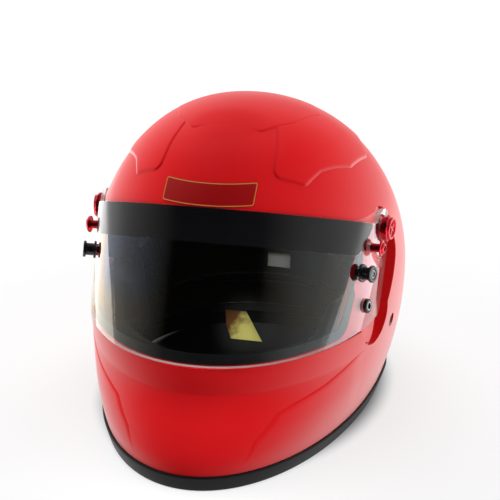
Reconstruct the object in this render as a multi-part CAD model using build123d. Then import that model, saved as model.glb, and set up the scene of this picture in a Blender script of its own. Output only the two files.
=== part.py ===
"""Auto racing helmet: full-face shell with a hinged clear shield, liners, straps and hardware.

Frame: millimetres, +Z up, the wearer looks along -Y and the wearer's left is +X.
The bottom trim rests on z = 0 and the mid plane of the helmet is x = 0.
"""
from build123d import *
import functools
import math
import os

os.makedirs("parts", exist_ok=True)

# Shell: outer form
CROWN_TOP = 251.0            # height of the crown above the table
WIDEST_Z = 103.6             # height where the shell is widest
HALF_WIDTH = 130.3           # half width there
RIM_HALF_WIDTH = 111.0       # half width at the rim
REAR_REACH = 150.5           # rear of the shell at its widest height
RIM_REAR_REACH = 122.7       # rear of the shell at the rim
STATION_Y = 25.8             # widest station behind the origin, at the widest height
RIM_STATION_Y = 30.3         # the same at the rim
APEX_Y = -4.0                # the crown's highest point
KNEE_Z = 68.0                # the chin turns upright here
KNEE_REACH = 165.7           # front of the chin at the knee
CHIN_HEIGHT_SHARES = (-0.176, 0.0, 0.191, 0.353, 0.574)      # of the knee's height
CHIN_REACH_SHARES = (1.101, 1.113, 1.126, 1.124, 1.091)      # of the knee's reach
CAP_ANGLE = 87.6             # degrees; the loft ends in a tiny flat cap here
CROWN_ANGLES = (14.0, 28.0, 41.0, 53.0, 63.0, 72.0, 80.0)
SHELL_WALL = 4.0
FIT_GAP = 0.3                # between pieces that only lie against each other
OVERRUN = 60.0               # cutting tools run past the shell by this

# Shield: a single-curved sheet, leaning back, that turns about the pivots
PIVOT_Y = -17.0
PIVOT_Z = 155.0
SHIELD_LEAN = 21.1           # degrees from upright
SHIELD_TOP_Y = -123.6        # front of the shield's top edge
SHIELD_TOP_Z = 198.8
SHIELD_THICKNESS = 3.0
SHIELD_FRONT_RADIUS = 107.7
SHIELD_SIDE_RADIUS = 146.0
SHIELD_FRONT_TURN = 44.0     # degrees from the middle to where the side radius starts
SHIELD_BOTTOM_Z = 90.5
SHIELD_CORNER_Y = -36.0      # lower rear corner, before its rounding
SHIELD_CORNER_RADIUS = 14.0
SHIELD_REAR_BULGE_Y = -3.0   # where the rear edge turns down from the ear
SHIELD_REAR_BULGE_Z = 134.0
SHIELD_REAR_BULGE_RADIUS = 18.0
EAR_RADIUS = 15.5
EAR_BLEND_RADIUS = 5.0
STRIP_HEIGHT = 25.7
STRIP_MARGIN = 0.3           # bare edge above the strip
STRIP_REAR_TOP_Y = -37.5
STRIP_REAR_BOTTOM_Y = -64.5
STRIP_CORNER_RADIUS = 5.0
STRIP_THICKNESS = 0.25
STRIP_FILM_GAP = 0.1         # adhesive between the strip and the shield
SHIELD_TRAVEL = 54.0         # degrees from shut to fully open

# Recess in the shell that the shield drops into
RECESS_GAP = 1.6             # under the shield
RECESS_MARGIN = 1.6          # round the shield's edge
RECESS_ABOVE_TOP = 9.0       # extra room above the top edge, for the travel
SCOOP_Y = -50.0              # finger scoop under the lower rear corner
SCOOP_Z = 92.0
SCOOP_RADIUS = 22.0
PAD_CLEARANCE = 0.5          # between the flat pad under each ear and the turning ear

# Eyeport
EYEPORT_DROP = 15.5          # its top edge below the pivot's line, across the lean
EYEPORT_REAR_TOP_Y = -49.0
EYEPORT_REAR_BOTTOM_Y = -90.7
EYEPORT_BOTTOM_Z = 95.2
EYEPORT_TOP_RADIUS = 12.0
EYEPORT_BOTTOM_RADIUS = 15.0
GASKET_LIP = 4.0
GASKET_WALL = 3.0
GASKET_LIP_THICKNESS = 1.25
GASKET_INNER_THICKNESS = 2.0

# Bottom trim
TRIM_HEIGHT = 12.8
TRIM_THICKNESS = 2.4
TRIM_INNER_HEIGHT = 10.0

# Raised crown panels and chin creases, as outlines seen from above and from the side
PANEL_RISE = 1.6
TOP_PANEL_RISE = 1.0
CREASE_RISE = 1.8
CREASE_BASE = 1.0            # the chin panels stop this far above the trim
# each place as shares: across of the half width or down of the knee's height, along of the knee's reach
WING_SHARES = ((0.315, -0.374), (0.338, -0.528), (0.507, -0.456), (0.564, -0.329), (0.695, -0.127),
               (0.744, 0.109), (0.614, 0.350), (0.353, 0.435), (0.153, 0.181))
TOP_SHARES = ((0.0, -0.362), (0.210, -0.329), (0.364, -0.163), (0.464, 0.097), (0.353, 0.314), (0.0, 0.374))
CREASE_SHARES = ((-0.362, 1.088), (-0.435, 1.059), (-0.670, 0.904), (-0.809, 0.838), (-0.893, 0.779),
                 (-1.002, 0.537), (-1.074, 0.235))

# Liners; side-view outlines are shares of the knee's reach and of the crown's height
EPS_DEPTH = 30.2             # thickness of the crushable crown liner
COMFORT_DEPTH = 8.2
COMFORT_INSET = 4.0          # the cloth liner stops this far inside the crushable one
CROWN_LINER_SHARES = ((0.314, 0.207), (0.181, 0.446), (-0.229, 0.470), (-0.278, 0.637))
LINER_EYEPORT_GAP = 5.0
CHIN_EPS_DEPTH = 20.0
CHIN_PAD_DEPTH = 3.2
CHIN_LINER_REAR_Y = -99.0
CHIN_LINER_BOTTOM_Z = 20.0
CHIN_LINER_TOP_Z = 88.5
CHEEK_DEPTH = 34.0
CHEEK_SHARES = ((-0.579, 0.120), (-0.579, 0.343), (-0.507, 0.351), (-0.374, 0.450), (-0.247, 0.450),
                (0.163, 0.432), (0.133, 0.120))
CHEEK_CORNER_RADIUS = 3.0
NECK_ROLL_DEPTH = 26.0
NECK_ROLL_FRONT_Y = 30.0
NECK_ROLL_BOTTOM_Z = 18.0
NECK_ROLL_TOP_Z = 46.0
HARDWARE_ROOM = 0.5          # round hardware that stands into the liners

# Pivot hardware
HUB_RADIUS = 9.5
HUB_BORE = 5.3
HUB_SLEEVE_RADIUS = 7.0
HUB_LIP = 0.8
BUSHING_RADIUS = 5.0
PIVOT_SHANK_RADIUS = 3.0
PIVOT_FLANGE_RADIUS = 11.2
PIVOT_FLANGE_THICKNESS = 2.2
PIVOT_HEAD_RADIUS = 9.0
PIVOT_HEAD_HEIGHT = 3.6
PIVOT_HEAD_ROUND = 1.4
FLANGE_CHAMFER = 0.5
FLANGE_SCALLOPS = 12
FLANGE_SCALLOP_RADIUS = 1.5
DRIVE_SLOT_WIDTH = 1.8
DRIVE_SLOT_LENGTH = 9.0
DRIVE_SLOT_DEPTH = 1.6
DRIVE_SLOT_ANGLE = 45.0
NUT_PLATE_RADIUS = 10.0
NUT_PLATE_THICKNESS = 2.5

# Guide screw and its slot
GUIDE_Y = -44.0
GUIDE_Z = 148.0
GUIDE_SLEEVE_RADIUS = 3.4
SLOT_HALF_WIDTH = 3.9
GUIDE_WASHER_RADIUS = 6.8
GUIDE_WASHER_THICKNESS = 2.0
GUIDE_HEAD_RADIUS = 4.4
GUIDE_HEAD_HEIGHT = 2.0
GUIDE_SHANK_RADIUS = 1.7
GUIDE_ROOT = 9.0             # how far the sleeve reaches in past the recess floor
WELL_NUT_RADIUS = 6.5
GUIDE_UNDERSIDE = 6.2        # the washer's underside above the shut shield, which swells as it opens
HEX_ACROSS = 3.0
HEX_DEPTH = 1.6

# Tear-off posts and lock post
POST_Y = -62.4
POST_Z = 133.4
POST_BASE_RADIUS = 7.0
POST_BASE_THICKNESS = 1.3
POST_BODY_RADIUS = 4.9
POST_LENGTH = 9.8
POST_HEAD_RADIUS = 6.6
POST_HEAD_THICKNESS = 2.3
POST_RING_RADIUS = 2.6       # bright groove in the end face
POST_RING_WIDTH = 0.8
POST_SCREW_RADIUS = 2.0
POST_SCREW_HEAD_RADIUS = 4.5
POST_SCREW_HEAD_DEPTH = 1.9  # countersunk flush with the shield's inner face
LOCK_Y = -62.6
LOCK_Z = 106.7
LOCK_RADIUS = 5.6
LOCK_HEIGHT = 3.0

# Head-restraint anchors
ANCHOR_Y = -12.0
ANCHOR_Z = 74.6
ANCHOR_FLANGE_RADIUS = 5.6
ANCHOR_BODY_RADIUS = 4.4
ANCHOR_THREAD_DIAMETER = 6.0
ANCHOR_LENGTH = 11.0
ANCHOR_SINK = 0.6
ANCHOR_FLANGE_THICKNESS = 1.2
ANCHOR_FLOOR = 1.0

# Chin straps and rings
STRAP_WIDTH = 25.0
STRAP_THICKNESS = 1.6
STRAP_Y = -32.0
STRAP_TOP_Z = 29.0
STRAP_WALL_Z = 16.0          # below this the strap leaves the shell's wall
STRAP_BEND_RADIUS = 4.0
STRAP_SHORT_POINTS = ((88.0, 10.5), (72.0, 10.1))
STRAP_LONG_POINTS = ((-90.0, 8.0), (-78.0, 1.9))
STRAP_LONG_REACH = 30.0      # where the long strap folds back
STRAP_FOLD_Z = 5.1           # middle of the folded layer
STRAP_END_X = -50.0
PLATE_THICKNESS = 1.2
PLATE_LENGTH = 20.0
PLATE_HEIGHT = 9.0
RIVET_Z = 23.6
RIVET_RADIUS = 2.4
RIVET_DEPTH = 2.5            # into the shell's wall from inside
RIVET_HEAD_RADIUS = 4.4
RIVET_HEAD_HEIGHT = 1.8
RING_WIRE_RADIUS = 1.6
RING_HALF_WIDTH = 14.8
RING_ARM = 7.0
RING_BEND = 3.0
RING_LIFT = 3.8              # the upper ring lies this far above the lower
RING_BAR_X = 61.0
RING_BAR_Z = 8.2
LOOP_ROOM = 0.6              # round the ring bars inside the strap's loop
LOOP_SWING = 2.1             # extra room for the upper bar as the lower ring lifts
LOOP_CORNER_RADIUS = 1.8

# Brow plate and labels
BROW_PLATE_WIDTH = 70.0
BROW_PLATE_HEIGHT = 14.2
BROW_PLATE_Z = 204.3
BROW_PLATE_CORNER = 2.0
BROW_PLATE_THICKNESS = 0.4
LABEL_X = 10.0
LABEL_WIDTH = 12.0
LABEL_HEIGHT = 18.0
LABEL_Z = 71.0
LABEL_THICKNESS = 0.4
TAG_X = -21.0
TAG_WIDTH = 30.0
TAG_THICKNESS = 0.8
TAG_ROOT_Y = 101.0
TAG_ROOT_Z = 17.4
TAG_BEND_Y = 86.0
TAG_BEND_Z = 8.5
TAG_END_Y = 73.0
TAG_END_Z = 1.6
TAG_BEND_RADIUS = 8.0

CHIN_HEIGHTS = tuple(share * KNEE_Z for share in CHIN_HEIGHT_SHARES)
CHIN_REACHES = tuple(share * KNEE_REACH for share in CHIN_REACH_SHARES)


def chin_reach(height):
    """Front of the chin below the knee: a cubic through the chin's own stations."""
    heights = CHIN_HEIGHTS + (KNEE_Z,)
    reaches = CHIN_REACHES + (KNEE_REACH,)
    last = len(heights) - 1
    slopes = [(reaches[i + 1] - reaches[i]) / (heights[i + 1] - heights[i]) for i in range(last)]
    tangents = [slopes[0]] + [(slopes[i - 1] + slopes[i]) / 2 for i in range(1, last)] + [slopes[-1] / 2]
    i = max(k for k in range(last) if heights[k] <= height or k == 0)
    span = heights[i + 1] - heights[i]
    t = (height - heights[i]) / span
    return (reaches[i] * (2 * t**3 - 3 * t**2 + 1) + tangents[i] * span * (t**3 - 2 * t**2 + t)
            + reaches[i + 1] * (3 * t**2 - 2 * t**3) + tangents[i + 1] * span * (t**3 - t**2))


def section_sizes(height, side, front_grow, rear_grow, top_grow):
    """Half width, front, rear and widest station of the form at a height."""
    top = CROWN_TOP + top_grow
    if height >= WIDEST_Z:
        part = math.sqrt(max(0.0, 1 - ((height - WIDEST_Z) / (top - WIDEST_Z))**2))
        half = (HALF_WIDTH + side) * part
        rear = APEX_Y + (REAR_REACH + rear_grow - APEX_Y) * part
        station = APEX_Y + (STATION_Y - APEX_Y) * part
    else:
        down = (WIDEST_Z - height) / WIDEST_Z
        half = HALF_WIDTH - (HALF_WIDTH - RIM_HALF_WIDTH) * down**2 + side
        rear = REAR_REACH - (REAR_REACH - RIM_REAR_REACH) * down**2 + rear_grow
        station = STATION_Y + (RIM_STATION_Y - STATION_Y) * down
    if height >= KNEE_Z:
        part = math.sqrt(max(0.0, 1 - ((height - KNEE_Z) / (top - KNEE_Z))**2))
        front = APEX_Y - (KNEE_REACH + front_grow + APEX_Y) * part
    else:
        front = -chin_reach(height) - front_grow
    return half, front, rear, station


def section(height, *grows):
    """One level of the form: a front and a rear half ellipse that share the widest station."""
    half, front, rear, station = section_sizes(height, *grows)
    plane = Plane(origin=(0, station, height))
    rear_arc = Edge.make_ellipse(half, rear - station, plane, 0, 180)
    front_arc = Edge.make_ellipse(half, station - front, plane, 180, 360)
    return Wire([rear_arc, front_arc])


def uneven_form(*grows):
    """The helmet's form with its own growth at the side, front, rear and top, as one smooth loft."""
    top = CROWN_TOP + grows[-1]
    heights = list(CHIN_HEIGHTS) + [(CHIN_HEIGHTS[-1] + KNEE_Z) / 2, KNEE_Z, (KNEE_Z + WIDEST_Z) / 2]
    heights += [WIDEST_Z + (top - WIDEST_Z) * math.sin(math.radians(a)) for a in (0.0,) + CROWN_ANGLES]
    heights.append(WIDEST_Z + (top - WIDEST_Z) * math.sin(math.radians(CAP_ANGLE)))
    return Solid.make_loft([section(height, *grows) for height in heights])


@functools.cache
def form(grow):
    """The helmet's form grown or shrunk alike all round."""
    return uneven_form(grow, grow, grow, grow)


def form_side_x(y, z, grow=0.0):
    """Half width of the form at a place on its side."""
    half, front, rear, station = section_sizes(z, grow, grow, grow, grow)
    reach = station - front if y < station else rear - station
    return half * math.sqrt(1 - ((y - station) / reach)**2)


def outline(points, radii):
    """A closed outline with each corner rounded by its own radius."""
    return make_face(FilletPolyline(*points, radius=radii, close=True))


REACH = KNEE_REACH + OVERRUN     # cutting tools go this far forward, back and to the sides
LEAN = math.radians(SHIELD_LEAN)
SHIELD_PLANE = Plane(origin=(0, SHIELD_TOP_Y, SHIELD_TOP_Z), x_dir=(1, 0, 0),
                     z_dir=(0, math.sin(LEAN), math.cos(LEAN)))


def through(face):
    """A side-view outline carried right across the helmet."""
    return extrude(Plane.YZ * face, amount=REACH, both=True)


def mirrored(solid):
    """The same piece on the other side."""
    return mirror(solid, about=Plane.YZ)


def both_sides(solid):
    """The piece and its mirror image together."""
    return solid + mirrored(solid)


def across(radius, y, z, x_from, x_to):
    """A round bar along X on the wearer's left."""
    return extrude(Plane(origin=(x_from, y, z), x_dir=(0, 1, 0), z_dir=(1, 0, 0)) * Circle(radius),
                   amount=x_to - x_from)


# The shield's plan: a front arc and two larger side arcs, tangent to each other
TURN = math.radians(SHIELD_FRONT_TURN)
SIDE_CENTRE_X = (SHIELD_FRONT_RADIUS - SHIELD_SIDE_RADIUS) * math.sin(TURN)
SIDE_CENTRE_U = SHIELD_FRONT_RADIUS + (SHIELD_SIDE_RADIUS - SHIELD_FRONT_RADIUS) * math.cos(TURN)


def shield_core(inset):
    """Everything inside the shield's leaning surface, moved inward by the inset."""
    side = SHIELD_SIDE_RADIUS - inset
    quarter = 90 - SHIELD_FRONT_TURN
    middle = CenterArc((0, SHIELD_FRONT_RADIUS), SHIELD_FRONT_RADIUS - inset, 270 - SHIELD_FRONT_TURN,
                       2 * SHIELD_FRONT_TURN)
    left = CenterArc((SIDE_CENTRE_X, SIDE_CENTRE_U), side, 270 + SHIELD_FRONT_TURN, quarter)
    right = CenterArc((-SIDE_CENTRE_X, SIDE_CENTRE_U), side, 180, quarter)
    left_end = left @ 1
    right_end = right @ 0
    back = Polyline((left_end.X, left_end.Y), (left_end.X, left_end.Y + REACH),
                    (right_end.X, right_end.Y + REACH), (right_end.X, right_end.Y))
    return extrude(SHIELD_PLANE * make_face([middle, left, back, right]), amount=REACH, both=True)


def shield_place(y, z):
    """Distance back along the shield's plan, and up along its lean, of a place in the side view."""
    back = (y - SHIELD_TOP_Y) * math.cos(LEAN) - (z - SHIELD_TOP_Z) * math.sin(LEAN)
    up = (y - SHIELD_TOP_Y) * math.sin(LEAN) + (z - SHIELD_TOP_Z) * math.cos(LEAN)
    return back, up


def shield_side_x(back, inset=0.0):
    """Half width of the shield's surface that far back along its plan."""
    side = SHIELD_SIDE_RADIUS - inset
    if back >= SIDE_CENTRE_U:
        return SIDE_CENTRE_X + side
    return SIDE_CENTRE_X + math.sqrt(side**2 - (SIDE_CENTRE_U - back)**2)


def shield_normal_plane(y, z):
    """A plane on the shield's outer face at a place on the wearer's left, facing outward."""
    back, up = shield_place(y, z)
    x = shield_side_x(back)
    out_x = (x - SIDE_CENTRE_X) / SHIELD_SIDE_RADIUS
    out_back = (back - SIDE_CENTRE_U) / SHIELD_SIDE_RADIUS
    normal = (out_x, out_back * math.cos(LEAN), -out_back * math.sin(LEAN))
    return Plane(origin=(x, y, z), x_dir=(0, math.sin(LEAN), math.cos(LEAN)), z_dir=normal)


def level_z(y, drop=0.0):
    """Height, at y, of the line across the lean that runs a drop below the shield's top edge."""
    return SHIELD_TOP_Z - (y - SHIELD_TOP_Y) * math.tan(LEAN) - drop / math.cos(LEAN)


def shield_outline():
    """Side view of the shield: straight top edge, round ear, curved rear edge, level bottom."""
    points = [(-REACH, level_z(-REACH)), (PIVOT_Y, level_z(PIVOT_Y)), (PIVOT_Y + EAR_RADIUS, PIVOT_Z),
              (SHIELD_REAR_BULGE_Y, SHIELD_REAR_BULGE_Z), (SHIELD_CORNER_Y, SHIELD_BOTTOM_Z),
              (-REACH, SHIELD_BOTTOM_Z)]
    radii = [0, 0, 0, SHIELD_REAR_BULGE_RADIUS, SHIELD_CORNER_RADIUS, 0]
    face = outline(points, radii) + Pos(PIVOT_Y, PIVOT_Z) * Circle(EAR_RADIUS)
    above = shield_place(PIVOT_Y, PIVOT_Z)[1]
    forward = math.sqrt(EAR_RADIUS**2 - above**2)
    notch = (PIVOT_Y - forward * math.cos(LEAN) - above * math.sin(LEAN),
             PIVOT_Z + forward * math.sin(LEAN) - above * math.cos(LEAN))
    corner = face.vertices().sort_by_distance((notch[0], notch[1], 0))[0]
    return fillet(corner, EAR_BLEND_RADIUS)


def recess_outline():
    """Side view of the recess: the shield with its margin, the room above it and the scoop."""
    rise = RECESS_ABOVE_TOP / math.cos(LEAN)
    room = Polygon((-REACH, level_z(-REACH) + rise), (PIVOT_Y, level_z(PIVOT_Y) + rise),
                   (PIVOT_Y, PIVOT_Z), (-REACH, PIVOT_Z), align=None)
    scoop = Pos(SCOOP_Y, SCOOP_Z) * Circle(SCOOP_RADIUS)
    return offset(shield_outline(), RECESS_MARGIN) + room + scoop


def eyeport_outline():
    """Side view of the eyeport."""
    drop = EYEPORT_DROP
    points = [(-REACH, level_z(-REACH, drop)), (EYEPORT_REAR_TOP_Y, level_z(EYEPORT_REAR_TOP_Y, drop)),
              (EYEPORT_REAR_BOTTOM_Y, EYEPORT_BOTTOM_Z), (-REACH, EYEPORT_BOTTOM_Z)]
    return outline(points, [0, EYEPORT_TOP_RADIUS, EYEPORT_BOTTOM_RADIUS, 0])


PIVOT_BACK = shield_place(PIVOT_Y, PIVOT_Z)[0]
PAD_X = shield_side_x(PIVOT_BACK - EAR_RADIUS, SHIELD_THICKNESS) - PAD_CLEARANCE


def recess_tool(gap, grow):
    """What is cut from the form for the shield, its travel and the flat pads under its ears."""
    face = recess_outline()
    if grow > 0:
        face = offset(face, grow)
    tool = through(face) - shield_core(SHIELD_THICKNESS + gap)
    pad = across(EAR_RADIUS + RECESS_MARGIN + grow, PIVOT_Y, PIVOT_Z, PAD_X - gap + RECESS_GAP, REACH)
    return tool + both_sides(pad)


def cavity(gap):
    """The hollow inside the shell, less a gap all round."""
    inward = SHELL_WALL + gap
    return form(-inward) - recess_tool(RECESS_GAP + inward, inward)


def raised_outer():
    """The outer form with its raised crown panels and chin panels."""
    solid = form(0)
    wings = uneven_form(PANEL_RISE, PANEL_RISE, PANEL_RISE, 0)
    wing_points = [(across_share * HALF_WIDTH, along * KNEE_REACH) for across_share, along in WING_SHARES]
    wing = extrude(Polygon(*wing_points, align=None), amount=CROWN_TOP + OVERRUN)
    solid += wings & both_sides(wing)
    top_points = [(across_share * HALF_WIDTH, along * KNEE_REACH) for across_share, along in TOP_SHARES]
    half_top = Polygon(*top_points, align=None)
    solid += form(TOP_PANEL_RISE) & extrude(both_sides(half_top), amount=CROWN_TOP + OVERRUN)
    low = TRIM_HEIGHT + CREASE_BASE
    points = [(along * KNEE_REACH, up * KNEE_Z) for along, up in CREASE_SHARES]
    points += [(points[-1][0], low), (points[0][0], low)]
    solid += uneven_form(0, CREASE_RISE, 0, 0) & through(make_face(Polyline(*points, close=True)))
    return solid


def above_level(z):
    """Everything above a height."""
    return Pos(0, 0, z) * Box(2 * REACH, 2 * REACH, 2 * REACH, align=(Align.CENTER, Align.CENTER, Align.MIN))


def below_level(z):
    """Everything below a height."""
    return Pos(0, 0, z) * Box(2 * REACH, 2 * REACH, 2 * REACH, align=(Align.CENTER, Align.CENTER, Align.MAX))


FRAME_SHIFT = (chin_reach(TRIM_HEIGHT) + TRIM_THICKNESS - REAR_REACH) / 2


def save(name, solid):
    """Write one node, moved so that the frame's origin lies under the middle of the whole helmet."""
    export_step(Pos(0, FRAME_SHIFT, 0) * solid, f"parts/{name}.step")


# Shell, trim and gasket
outer = raised_outer()
recess = recess_tool(RECESS_GAP, 0)
eyeport = through(eyeport_outline())
shell = outer - recess - cavity(0) - eyeport
shell = shell & above_level(TRIM_THICKNESS)

outer_leg = (form(TRIM_THICKNESS) - outer) & below_level(TRIM_HEIGHT)
inner_leg = (form(-SHELL_WALL) - form(-SHELL_WALL - TRIM_THICKNESS)) & below_level(TRIM_INNER_HEIGHT)
foot = (form(TRIM_THICKNESS) - form(-SHELL_WALL - TRIM_THICKNESS)) & below_level(TRIM_THICKNESS)
trim = (outer_leg + inner_leg + foot) & above_level(0)

lip_face = offset(eyeport_outline(), GASKET_LIP) - offset(eyeport_outline(), -GASKET_WALL)
lip_bound = form(GASKET_LIP_THICKNESS) & shield_core(SHIELD_THICKNESS + RECESS_GAP - GASKET_LIP_THICKNESS)
gasket = (through(lip_face) & lip_bound) - form(-SHELL_WALL - GASKET_INNER_THICKNESS) - shell
gasket = gasket.solids().sort_by(SortBy.VOLUME)[-1]

# Shield with its strip, ears, slots and holes
shield_sheet = (shield_core(0) - shield_core(SHIELD_THICKNESS)) & through(shield_outline())
ear_hole = both_sides(across(HUB_SLEEVE_RADIUS, PIVOT_Y, PIVOT_Z, 0, REACH))
guide_reach = math.hypot(GUIDE_Y - PIVOT_Y, GUIDE_Z - PIVOT_Z)
guide_angle = math.degrees(math.atan2(GUIDE_Z - PIVOT_Z, GUIDE_Y - PIVOT_Y)) % 360
slot_face = Pos(PIVOT_Y, PIVOT_Z) * SlotArc(CenterArc((0, 0), guide_reach, guide_angle, SHIELD_TRAVEL),
                                            2 * SLOT_HALF_WIDTH)
slot = both_sides(extrude(Plane.YZ * slot_face, amount=REACH))
post_plane = shield_normal_plane(POST_Y, POST_Z)
lock_plane = shield_normal_plane(LOCK_Y, LOCK_Z)
shank = Cylinder(POST_SCREW_RADIUS, 4 * SHIELD_THICKNESS)
sink = Pos(0, 0, -SHIELD_THICKNESS) * (Cone(POST_SCREW_HEAD_RADIUS, POST_SCREW_RADIUS, POST_SCREW_HEAD_DEPTH,
                                            align=(Align.CENTER, Align.CENTER, Align.MIN))
                                       + Cylinder(POST_SCREW_HEAD_RADIUS, SHIELD_THICKNESS,
                                                  align=(Align.CENTER, Align.CENTER, Align.MAX)))
post_hole = post_plane * (shank + sink)
lock_hole = lock_plane * (shank + sink)
shield = shield_sheet - ear_hole - slot - both_sides(post_hole) - lock_hole

strip_points = [(-REACH, level_z(-REACH, STRIP_MARGIN)),
                (STRIP_REAR_TOP_Y, level_z(STRIP_REAR_TOP_Y, STRIP_MARGIN)),
                (STRIP_REAR_BOTTOM_Y, level_z(STRIP_REAR_BOTTOM_Y, STRIP_HEIGHT)),
                (-REACH, level_z(-REACH, STRIP_HEIGHT))]
strip_face = outline(strip_points, [0, STRIP_CORNER_RADIUS, STRIP_CORNER_RADIUS, 0])
strip = (shield_core(-STRIP_FILM_GAP - STRIP_THICKNESS) - shield_core(-STRIP_FILM_GAP)) & through(strip_face)

# Pivot hardware, on the wearer's left and mirrored
hub_out = shield_side_x(PIVOT_BACK + HUB_RADIUS) + HUB_LIP
hub = across(HUB_RADIUS, PIVOT_Y, PIVOT_Z, PAD_X + FIT_GAP, hub_out)
hub = hub - across(HUB_BORE, PIVOT_Y, PIVOT_Z, 0, REACH) - shield
pad_inner_x = PAD_X - SHELL_WALL
washer_x = hub_out + FIT_GAP
head_x = washer_x + PIVOT_FLANGE_THICKNESS
bushing = across(BUSHING_RADIUS, PIVOT_Y, PIVOT_Z, pad_inner_x, washer_x)
bushing -= across(PIVOT_SHANK_RADIUS, PIVOT_Y, PIVOT_Z, 0, REACH)
flange = across(PIVOT_FLANGE_RADIUS, PIVOT_Y, PIVOT_Z, washer_x, head_x)
flange = chamfer(flange.edges().group_by(Axis.X)[-1], FLANGE_CHAMFER)
scallop_ring = PolarLocations(PIVOT_FLANGE_RADIUS + FLANGE_SCALLOP_RADIUS / 2, FLANGE_SCALLOPS)
scallops = Plane(origin=(washer_x, PIVOT_Y, PIVOT_Z), x_dir=(0, 1, 0), z_dir=(1, 0, 0)) * (
    Sketch() + [place * Circle(FLANGE_SCALLOP_RADIUS) for place in scallop_ring])
flange = flange - extrude(scallops, amount=PIVOT_FLANGE_THICKNESS)
flange -= across(PIVOT_SHANK_RADIUS, PIVOT_Y, PIVOT_Z, 0, REACH)
nut_plate = across(NUT_PLATE_RADIUS, PIVOT_Y, PIVOT_Z, pad_inner_x - NUT_PLATE_THICKNESS, pad_inner_x)
nut_plate -= across(PIVOT_SHANK_RADIUS, PIVOT_Y, PIVOT_Z, 0, REACH)
head = across(PIVOT_HEAD_RADIUS, PIVOT_Y, PIVOT_Z, head_x, head_x + PIVOT_HEAD_HEIGHT)
head = fillet(head.edges().group_by(Axis.X)[-1], PIVOT_HEAD_ROUND)
bar = Pos(head_x + PIVOT_HEAD_HEIGHT, PIVOT_Y, PIVOT_Z) * Box(2 * DRIVE_SLOT_DEPTH, DRIVE_SLOT_LENGTH,
                                                             DRIVE_SLOT_WIDTH)
pivot_axis = Axis((0, PIVOT_Y, PIVOT_Z), (1, 0, 0))
turned = [bar.rotate(pivot_axis, angle) for angle in (DRIVE_SLOT_ANGLE, -DRIVE_SLOT_ANGLE)]
head = head - turned[0] - turned[1]
pivot_screw = head + across(PIVOT_SHANK_RADIUS, PIVOT_Y, PIVOT_Z, pad_inner_x - NUT_PLATE_THICKNESS, head_x)

# Guide screw: a sleeve through the arc slot, a cup washer and a button-head screw
guide_back = shield_place(GUIDE_Y, GUIDE_Z)[0]
guide_floor_x = shield_side_x(guide_back, SHIELD_THICKNESS + RECESS_GAP)
guide_washer_x = shield_side_x(guide_back) + GUIDE_UNDERSIDE
guide_head_x = guide_washer_x + GUIDE_WASHER_THICKNESS
guide_inner_x = guide_floor_x - GUIDE_ROOT
guide_bore = across(GUIDE_SHANK_RADIUS, GUIDE_Y, GUIDE_Z, 0, REACH)
sleeve = across(GUIDE_SLEEVE_RADIUS, GUIDE_Y, GUIDE_Z, guide_inner_x, guide_washer_x) - guide_bore
washer = across(GUIDE_WASHER_RADIUS, GUIDE_Y, GUIDE_Z, guide_washer_x, guide_head_x)
washer = fillet(washer.edges().group_by(Axis.X)[-1], GUIDE_WASHER_THICKNESS / 2) - guide_bore
button = across(GUIDE_HEAD_RADIUS, GUIDE_Y, GUIDE_Z, guide_head_x, guide_head_x + GUIDE_HEAD_HEIGHT)
button = fillet(button.edges().group_by(Axis.X)[-1], GUIDE_HEAD_HEIGHT / 2)
socket = Plane(origin=(guide_head_x + GUIDE_HEAD_HEIGHT, GUIDE_Y, GUIDE_Z), x_dir=(0, 1, 0),
               z_dir=(-1, 0, 0)) * RegularPolygon(HEX_ACROSS / math.sqrt(3), 6)
button -= extrude(socket, amount=HEX_DEPTH)
guide_screw = button + across(GUIDE_SHANK_RADIUS, GUIDE_Y, GUIDE_Z, guide_inner_x, guide_head_x)
well_nut = across(WELL_NUT_RADIUS, GUIDE_Y, GUIDE_Z, guide_inner_x, guide_floor_x)
well_nut = well_nut - across(GUIDE_SLEEVE_RADIUS, GUIDE_Y, GUIDE_Z, 0, REACH)

# Holes in the shell for the hardware
anchor_x = form_side_x(ANCHOR_Y, ANCHOR_Z) - ANCHOR_SINK
anchor_hole = across(ANCHOR_BODY_RADIUS, ANCHOR_Y, ANCHOR_Z, 0, REACH)
anchor_seat = across(ANCHOR_FLANGE_RADIUS, ANCHOR_Y, ANCHOR_Z, anchor_x - ANCHOR_FLANGE_THICKNESS, REACH)
bushing_hole = across(BUSHING_RADIUS, PIVOT_Y, PIVOT_Z, 0, REACH)
sleeve_hole = across(GUIDE_SLEEVE_RADIUS, GUIDE_Y, GUIDE_Z, 0, REACH)
shell = shell - both_sides(anchor_hole + anchor_seat) - both_sides(bushing_hole) - both_sides(sleeve_hole)
well_nut = (well_nut - shell).solids().sort_by(SortBy.VOLUME)[-1]

anchor = across(ANCHOR_FLANGE_RADIUS, ANCHOR_Y, ANCHOR_Z, anchor_x - ANCHOR_FLANGE_THICKNESS, anchor_x)
anchor += across(ANCHOR_BODY_RADIUS, ANCHOR_Y, ANCHOR_Z, anchor_x - ANCHOR_LENGTH, anchor_x)
anchor -= across(ANCHOR_THREAD_DIAMETER / 2, ANCHOR_Y, ANCHOR_Z, anchor_x - ANCHOR_LENGTH + ANCHOR_FLOOR, REACH)

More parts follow.
